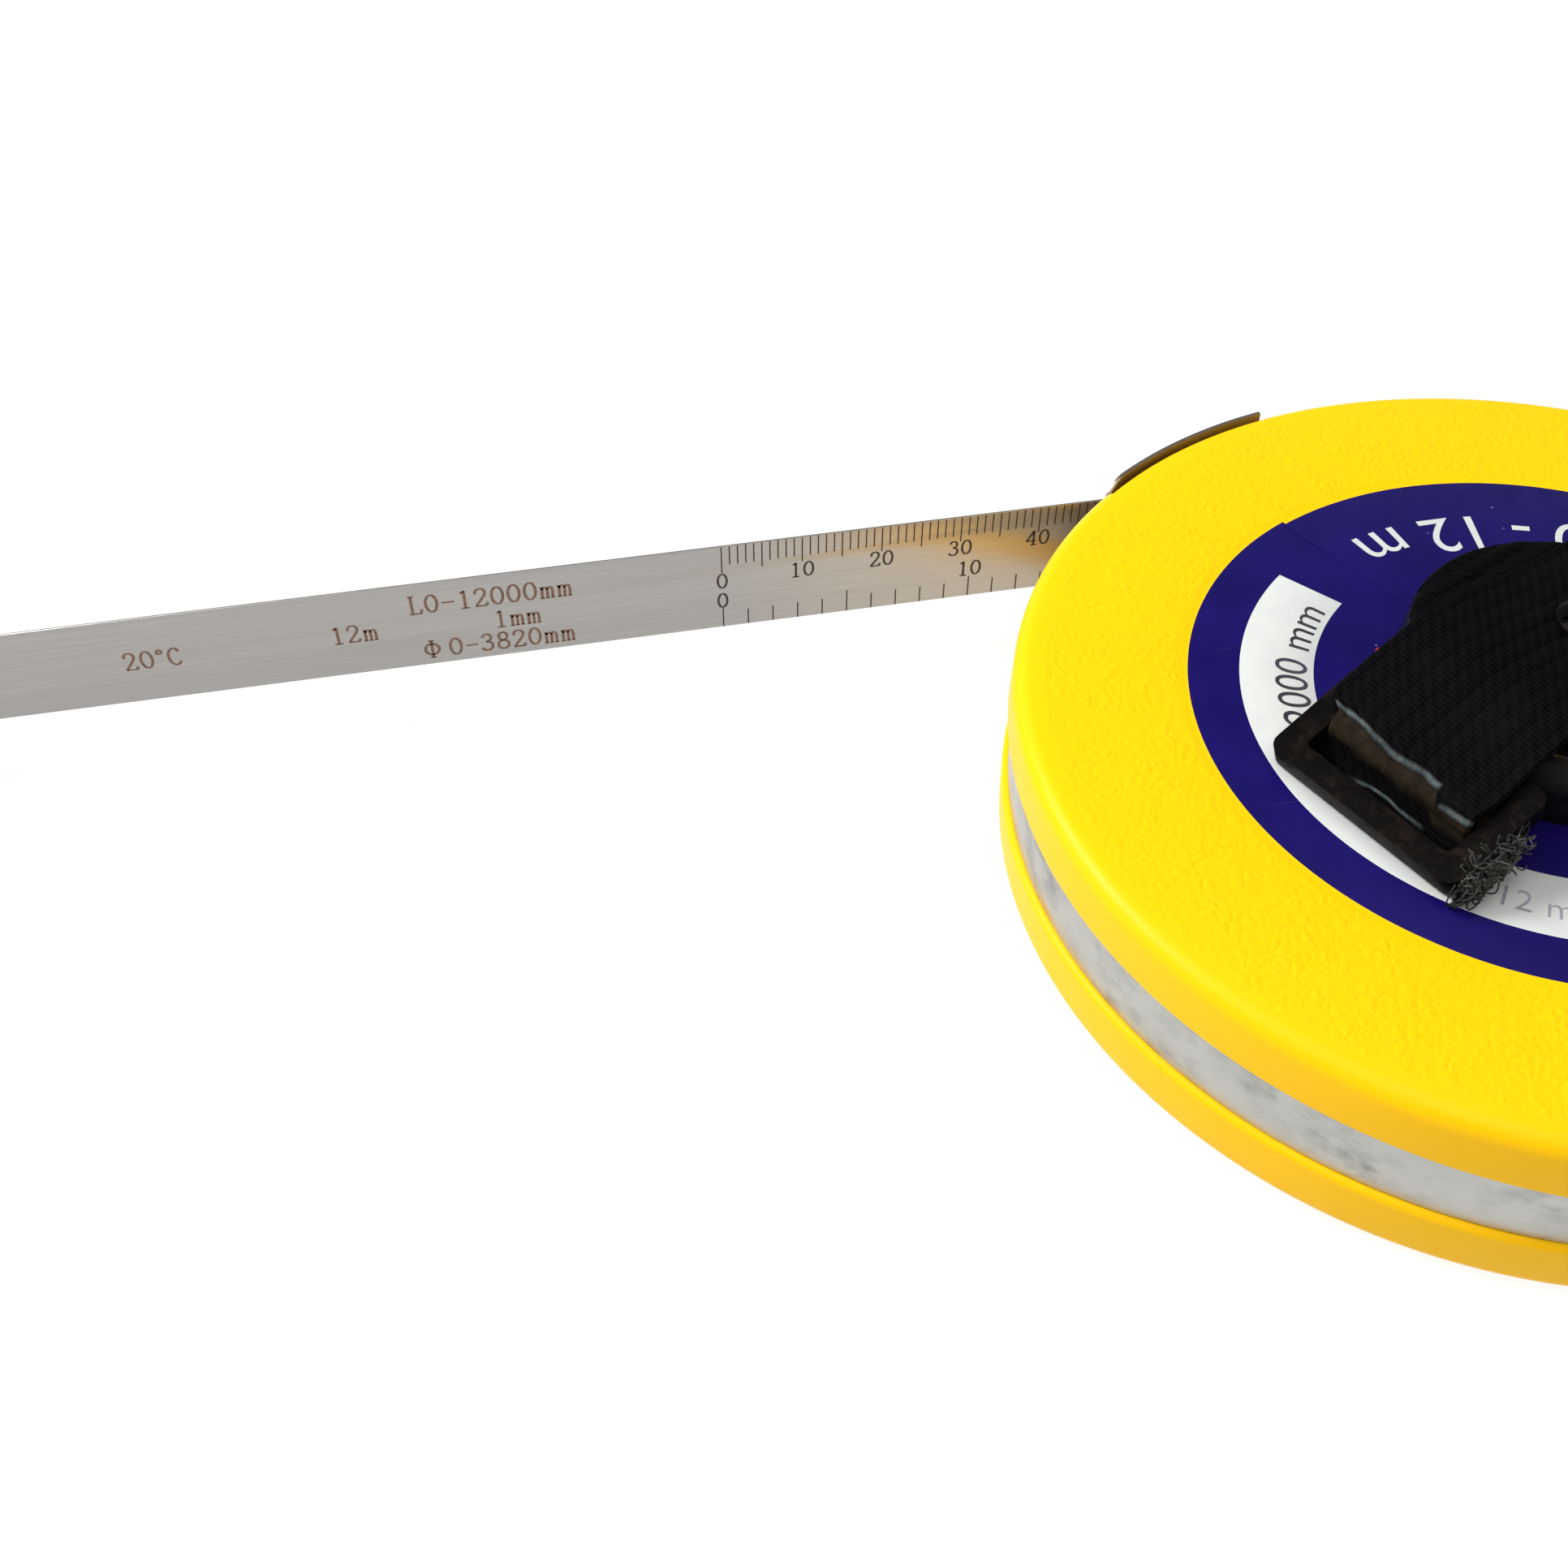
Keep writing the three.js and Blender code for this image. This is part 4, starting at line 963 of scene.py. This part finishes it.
def add_strap():
    """The webbing, ribbed and a little uneven. It is narrower where it goes into the buckle."""
    half_width = STRAP_WIDTH / 2
    body = STRAP_THICKNESS / 2
    count = 90
    section = []
    for side in (1, -1):
        for i in range(count + 1):
            across = side * half_width * (1 - 2 * i / count)
            edge = max(0.0, abs(across) - half_width + 0.35) / 0.35
            section.append((across, side, body * math.sqrt(max(0.03, 1 - edge ** 2))))
    verts, grid = [], []
    last = len(STRAP_LINE) - 1
    for index, (middle, distance) in enumerate(zip(STRAP_LINE, STRAP_DISTANCES)):
        before, after = STRAP_LINE[max(0, index - 1)], STRAP_LINE[min(last, index + 1)]
        tangent = (after - before).normalized()
        normal = Vector((-tangent.y, tangent.x))
        drift = 0.03 * math.sin(distance * 0.83)
        pinch = ease((distance - CREST_DISTANCE + 1.5) / 1.8)
        below = ease((distance - CREST_DISTANCE - FOLD_DISTANCE + 0.9) / 0.8)
        narrow = 1 - 0.13 * pinch + 0.1 * below
        shift = ease((distance - CREST_DISTANCE + 36) / 28) * (1 - pinch)
        relief = 1 - 0.75 * ease((distance - CREST_DISTANCE + 1) / 1.5)
        for across, side, thickness in section:
            height = side * max(0.06, thickness + relief * rib_height(across))
            sway = 0.06 * math.sin(distance * 0.31 + across * 0.2) + drift
            level = height + 0.03 * math.sin(across * 0.9 + distance * 0.21)
            place = middle + normal * level
            verts.append(strap_frame(place.x, across * narrow + shift + sway, place.y))
            grid.append((across, distance))
    faces = swept_faces(len(section), len(STRAP_LINE), False)
    mesh = bpy.data.meshes.new("hand_strap")
    mesh.from_pydata([vertex * MM for vertex in verts], [], faces)
    layer = mesh.uv_layers.new(name="thread")
    for loop in mesh.loops:
        layer.data[loop.index].uv = grid[loop.vertex_index]
    mesh.update()
    work = bmesh.new()
    work.from_mesh(mesh)
    bmesh.ops.recalc_face_normals(work, faces=work.faces)
    work.to_mesh(mesh)
    work.free()
    strap = soften(link("hand_strap", mesh), 70)
    hole = lathe("strap_hole", [(0, 28, 0), (2.25, 28, 0), (2.25, 36, 0), (0, 36, 0)], 32)
    cut(strap, hole)
    dress(strap, WEBBING, "case", "black_webbing", "strap")


def buckle_height(along):
    """Height of the buckle's middle plane above the boss top."""
    return BUCKLE_CENTRE[1] + math.tan(math.radians(BUCKLE_TILT)) * (along - BUCKLE_CENTRE[0])


BUCKLE_THREADS = 460
END_THREADS = 40


def add_fray():
    """Loose threads: most beside the near end of the buckle, some at the webbing's cut end."""
    threads = []
    end = STRAP_LINE[-1]
    heading = (end - STRAP_LINE[-4]).normalized()
    for near in [True] * BUCKLE_THREADS + [False] * END_THREADS:
        if near:
            start_along = rng.triangular(-31.2, -21.5, -29.0)
            start_across = -BUCKLE_LENGTH / 2 + rng.uniform(-0.5, 0.6)
            start_up = buckle_height(start_along) - 1.5 - rng.uniform(0.05, 0.5)
            reach = Vector((
                rng.uniform(-1.3, 1.3), rng.uniform(-2.0, 1.2), rng.triangular(0.2, 4.4, 1.6)))
        else:
            start_along = end.x - rng.uniform(0.0, 0.4)
            start_across = rng.uniform(-STRAP_WIDTH / 2, STRAP_WIDTH / 2)
            start_up = end.y - (end.x - start_along) * 0.3 + rng.uniform(-0.25, 0.3)
            reach = Vector((
                heading.x * rng.uniform(0.4, 0.8), rng.uniform(-0.5, 0.5), rng.uniform(-0.4, 0.1)))
        curl = Vector([rng.uniform(-1.1, 1.1) for _ in range(3)]) * (1 if near else 0.15)
        points = []
        for step in range(6):
            share = step / 5
            offset = reach * share + curl * math.sin(share * math.pi)
            outward = start_across + offset.y
            up = max(start_up + offset.z, LABEL_TOP_Z - BOSS_TOP_Z + 0.15)
            if near and up < buckle_height(start_along + offset.x) + 1.5:
                outward = min(outward, -BUCKLE_LENGTH / 2 - 0.1)
            points.append(strap_frame(start_along + offset.x, outward, up))
        threads.append(points)
    dress(wires("strap_fray", threads, 0.085, 1, 60), FRAY, "case", "black_webbing")


def add_buckle():
    outer_x = -BUCKLE_WIDTH / 2 + BUCKLE_OUTER_BAR + BUCKLE_OUTER_SLOT / 2
    inner_x = outer_x + (BUCKLE_OUTER_SLOT + BUCKLE_INNER_SLOT) / 2 + BUCKLE_MIDDLE_BAR
    holes = [
        rounded_rectangle(BUCKLE_OUTER_SLOT, BUCKLE_SLOT_LENGTH, 0.7, outer_x),
        rounded_rectangle(BUCKLE_INNER_SLOT, BUCKLE_SLOT_LENGTH, 0.7, inner_x),
    ]
    outer = rounded_rectangle(BUCKLE_WIDTH, BUCKLE_LENGTH, 1.5)
    half = BUCKLE_THICKNESS / 2
    buckle = flat_plate("strap_buckle", outer, holes, -half, half, 0.7, 5)
    tilt = Matrix.Rotation(-math.radians(BUCKLE_TILT), 4, "Y")
    turn = Matrix.Rotation(math.radians(STRAP_ANGLE), 4, "Z")
    lift = Matrix.Translation(Vector((0, 0, BOSS_TOP_Z)) * MM)
    shift = Matrix.Translation(Vector((BUCKLE_CENTRE[0], 0, BUCKLE_CENTRE[1])) * MM)
    buckle.data.transform(lift @ turn @ shift @ tilt)
    dress(buckle, MATT_BLACK, "case", "black_plastic", "buckle")


def add_strap_screw():
    seat = BOSS_TOP_Z + UPPER_LAYER + STRAP_THICKNESS / 2 + GAP
    head = lathe("strap_screw_head", [
        (0, seat - 13, 0), (2, seat - 13, 0.2), (2, seat, 0), (3.4, seat, 0.12),
        (3.4, seat + 0.55, 0.25), (2.5, seat + 1.2, 0.5), (0, seat + 1.3, 0),
    ], 96)
    slot = block("screw_slot", (-5, -0.4, seat + 0.7), (5, 0.4, seat + 3))
    cut(head, slot)
    dress(head, MATT_BLACK, "case", "polished_steel", "strap_screw")


# ---- tape blade

TAPE_FACE_Y = TAPE_Y - TAPE_THICKNESS / 2

# Each figure's strokes, in shares of the figure height: a ring's centre and radii, or the points
# of a line or a curve. Here "d" is the degree sign and "o" the diameter sign.
GLYPHS = {
    "0": "ring .31 .5 .235 .455",
    "1": "line .32 .03 .32 .96; line .33 .95 .16 .83; line .14 .03 .5 .03",
    "2": "curve .09 .7 .12 .87 .24 .96 .4 .94 .5 .78 .45 .58 .3 .36 .08 .05; "
        "line .07 .045 .52 .045; line .52 .03 .56 .2",
    "3": "curve .1 .8 .2 .94 .36 .95 .47 .82 .44 .63 .26 .53; "
        "curve .26 .53 .44 .48 .52 .3 .44 .1 .26 .04 .12 .1 .08 .2",
    "4": "line .42 .96 .05 .3; line .04 .3 .58 .3; line .43 .97 .43 .03; line .28 .03 .58 .03",
    "5": "line .14 .95 .52 .95; line .14 .95 .1 .52; "
        "curve .1 .52 .26 .62 .44 .54 .52 .34 .44 .12 .24 .03 .08 .16",
    "6": "curve .48 .9 .34 .95 .17 .82 .09 .5 .12 .2 .3 .04 .48 .14 .52 .34 "
        ".42 .52 .26 .54 .11 .38",
    "7": "line .08 .78 .08 .96; line .06 .94 .56 .94; curve .56 .94 .38 .6 .28 .3 .27 .03",
    "8": "ring .31 .74 .18 .22; ring .31 .27 .23 .24",
    "C": "curve .53 .76 .46 .9 .32 .96 .16 .84 .08 .5 .16 .15 .32 .03 .46 .08 .54 .22",
    "d": "ring .2 .84 .1 .11",
    "-": "line .04 .46 .58 .46",
    "L": "line .18 .03 .18 .96; line .05 .97 .33 .97; line .05 .03 .54 .03; line .53 .02 .58 .24",
    "m": "line .12 .03 .12 .62; line .03 .6 .13 .6; curve .12 .48 .2 .6 .3 .58 .34 .44 .34 .03; "
        "curve .34 .48 .42 .6 .52 .58 .56 .44 .56 .03; line .03 .03 .21 .03; "
        "line .26 .03 .42 .03; line .48 .03 .64 .03",
    "o": "ring .36 .5 .3 .3; line .36 .03 .36 .97; line .24 .03 .48 .03; line .24 .97 .48 .97",
}

# The width each figure takes, the gap after it, and how broad the pen's strokes are.
ADVANCE = 0.62
OTHER_ADVANCES = {"d": 0.4, "m": 0.66, "o": 1.0}
SPACING = 0.07
PEN_THICK = 0.125
PEN_THIN = 0.07

TICK_WIDTH = 0.16


def pen_path(kind, numbers):
    """The points that a pen follows for one stroke of a figure, and whether it closes."""
    if kind == "ring":
        x, y, rx, ry = numbers
        turns = [2 * math.pi * i / 28 for i in range(28)]
        return [Vector((x + rx * math.cos(a), y + ry * math.sin(a))) for a in turns], True
    points = [Vector(numbers[i:i + 2]) for i in range(0, len(numbers), 2)]
    if kind == "curve":
        steps = 5 * (len(points) - 1)
        points = [spline_point(points, i / steps) for i in range(steps + 1)]
    return points, False


def pen_stroke(points, closed, start, height):
    """One stroke as a thin solid: broad where the pen moves up or down, fine where it crosses."""
    count = len(points)
    verts, faces = [], []
    for i, point in enumerate(points):
        before = points[i - 1] if closed or i else point
        after = points[(i + 1) % count] if closed or i + 1 < count else point
        heading = (after - before).normalized()
        half = (PEN_THIN + (PEN_THICK - PEN_THIN) * abs(heading.y)) / 2
        side = Vector((-heading.y, heading.x)) * half
        for edge in (point + side, point - side):
            for level in (-0.03, 0.02):
                verts.append((start + edge.x * height, edge.y * height, level))
    for i in range(count if closed else count - 1):
        a, b = 4 * i, 4 * ((i + 1) % count)
        faces += [(a, b, b + 1, a + 1), (a + 2, a + 3, b + 3, b + 2)]
        faces += [(a + 1, b + 1, b + 3, a + 3), (a, a + 2, b + 2, b)]
    if not closed:
        last = 4 * (count - 1)
        faces += [(0, 1, 3, 2), (last, last + 2, last + 3, last + 1)]
    return solid("stroke", verts, faces)


def engraved(text, x, base, height=2.35, from_right=False):
    """A row of serifed figures on the blade's inner face, about x or ending there."""
    def stand(u, v, depth):
        return x + u / MM, TAPE_FACE_Y - depth / MM, base + v / MM

    advances = [OTHER_ADVANCES.get(letter, ADVANCE) + SPACING for letter in text]
    width = sum(advances) - SPACING
    start = (-width if from_right else -width / 2) * height
    strokes = []
    for letter, advance in zip(text, advances):
        for words in GLYPHS[letter].split("; "):
            kind, *numbers = words.split()
            path, closed = pen_path(kind, [float(number) for number in numbers])
            stroke = pen_stroke(path, closed, start, height)
            remap(stroke, stand)
            strokes.append(stroke)
        start += advance * height
    return strokes


def tick(x, low, high):
    half = TICK_WIDTH / 2
    low, high = (x - half, TAPE_FACE_Y - 0.02, low), (x + half, TAPE_FACE_Y + 0.05, high)
    return block("tick", low, high)


def add_blade():
    reach = TAPE_THICKNESS / 2
    low = (TAPE_END_X, TAPE_Y - reach, TAPE_BOTTOM_Z)
    blade = block("blade", low, (0, TAPE_Y + reach, TAPE_TOP_Z))
    stand = Matrix.Rotation(math.radians(90), 4, "X")
    holes = []
    for offset in (2.5, 6):
        hole = lathe(f"rivet_hole_{offset}", [(0, -3, 0), (1, -3, 0), (1, 3, 0), (0, 3, 0)], 32)
        place = Vector((TAPE_END_X + offset, TAPE_Y, TAPE_MID_Z)) * MM
        hole.data.transform(Matrix.Translation(place) @ stand)
        holes.append(hole)
    cut(blade, *holes)
    bevel(blade, 0.06)
    blade = soften(bake(blade))
    blade.name = "tape_strip"
    dress(blade, TAPE_STEEL, "tape", "tape_steel", "tape_blade")


def add_scales():
    """Millimetres along the blade's upper edge, and diameters, pi apart, along the lower one."""
    top, bottom = TAPE_TOP_Z - 0.05, TAPE_BOTTOM_Z + 0.05
    ticks, figures, legends = [], [], []
    for step in range(80):
        length = 4.0 if step == 0 else 3.7 if step % 5 == 0 else 2.8
        ticks.append(tick(ZERO_X + step, top - length, top))
    for step in range(26):
        length = 3.1 if step % 10 == 0 else 3.3 if step % 5 == 0 else 2.4
        ticks.append(tick(ZERO_X + step * math.pi, bottom, bottom + length))
    for step in range(0, 80, 10):
        drop = 6.5 if step == 0 else 6.3 - 0.0125 * step
        figures += engraved(str(step), ZERO_X + step, TAPE_TOP_Z - drop)
    for step, rise in ((0, 3.1), (10, 3.35), (20, 3.35)):
        figures += engraved(str(step), ZERO_X + step * math.pi, TAPE_BOTTOM_Z + rise)
    for text, right, drop, height in (
        ("L0-12000mm", -100.5, 4.6, 2.85),
        ("1mm", -104.6, 8.25, 2.75),
        ("o0-3820mm", -100.7, 11.75, 2.8),
    ):
        legends += engraved(text, right, TAPE_TOP_Z - drop, height, True)
    for text, middle in (("12m", -127.0), ("20dC", -150.6)):
        legends += engraved(text, middle, TAPE_MID_Z - 1.4, 2.75)
    for name, pieces, ink in (
        ("tape_ticks", ticks, DARK_ETCH), ("tape_figures", figures, DARK_ETCH),
        ("tape_legends", legends, ETCH),
    ):
        dress(join(name, pieces), ink, "tape", "tape_steel")


def add_end_ring():
    """The pull ring: a small bend at each end of its hinge, a large one at each outer corner."""
    far, reach, corner = -14.0, 8.0, 4.0

    def bend(x, z, radius, first):
        angles = [math.radians(first + 15 * i) for i in range(7)]
        return [(x + radius * math.cos(a), z + radius * math.sin(a)) for a in angles]

    path = [(0.0, z) for z in (-4, 0, 4)] + bend(-1, reach - 1, 1, 0)
    path += [(-4, reach), (-7, reach)] + bend(far + corner, reach - corner, corner, 90)
    path += [(far, 0)] + bend(far + corner, corner - reach, corner, 180)
    path += [(-7, -reach), (-4, -reach)] + bend(-1, 1 - reach, 1, 270)
    points = [(RING_AXIS_X + x, TAPE_Y, TAPE_MID_Z + z) for x, z in path]
    ring = wires("pull_ring", [points], 1.0, 10, 50, closed=True)
    dress(ring, POLISHED, "ring", "polished_steel", "end_ring")


# ---- crank side

def add_knob():
    low, high = 5.4, 14.4
    knob = lathe("crank_grip", [
        (1.7, low, 0.1), (4, low, 0.3), (4.6, low + 1, 0.5), (4.2, low + 4, 2),
        (5, high - 1.2, 0.8), (4.2, high, 0.7), (2.8, high, 0.3), (2.8, high - 1.2, 0.1),
        (1.7, high - 1.2, 0.1),
    ], 96)
    knob.data.transform(Matrix.Translation((0, KNOB_Y * MM, 0)))
    dress(knob, GLOSS_BLACK, "knob", "black_plastic", "crank_knob")


def dress_cad_nodes():
    """The CAD nodes that stay as they are, with the width of their softened edges."""
    four = range(1, 5)
    for material, edge, names in (
        (POLISHED, 0.12, ("axle", "crank_pin", "knob_rivet", "tape_anchor")),
        (POLISHED, 0.12, ("mouth_pin_outer", "mouth_pin_inner")),
        (POLISHED, 0.1, ("drum_flange_lower", "drum_flange_upper")),
        (POLISHED, 0.1, [f"case_screw_{index}" for index in four]),
        (POLISHED, 0.2, [f"drum_rivet_{index}" for index in four]),
        (POLISHED, 0.15, ("tape_end_rivet_1", "tape_end_rivet_2")),
        (SATIN, 0.25, ("crank_arm",)),
        (SATIN, 0.15, ("tape_end_fitting",)),
        (MATT_BLACK, 0.25, ("crank_dish",)),
        (GREY_PLASTIC, 0.2, ("drum_hub",)),
        (TAPE_STEEL, 0.1, ("tape_coil",)),
    ):
        for name in names:
            keep_node(name, material, edge)


add_camera()
add_studio()
add_shells()
add_band()
add_mouth_plate()
add_label()
add_boss()
add_strap()
add_fray()
add_buckle()
add_strap_screw()
add_blade()
add_scales()
add_end_ring()
add_knob()
dress_cad_nodes()
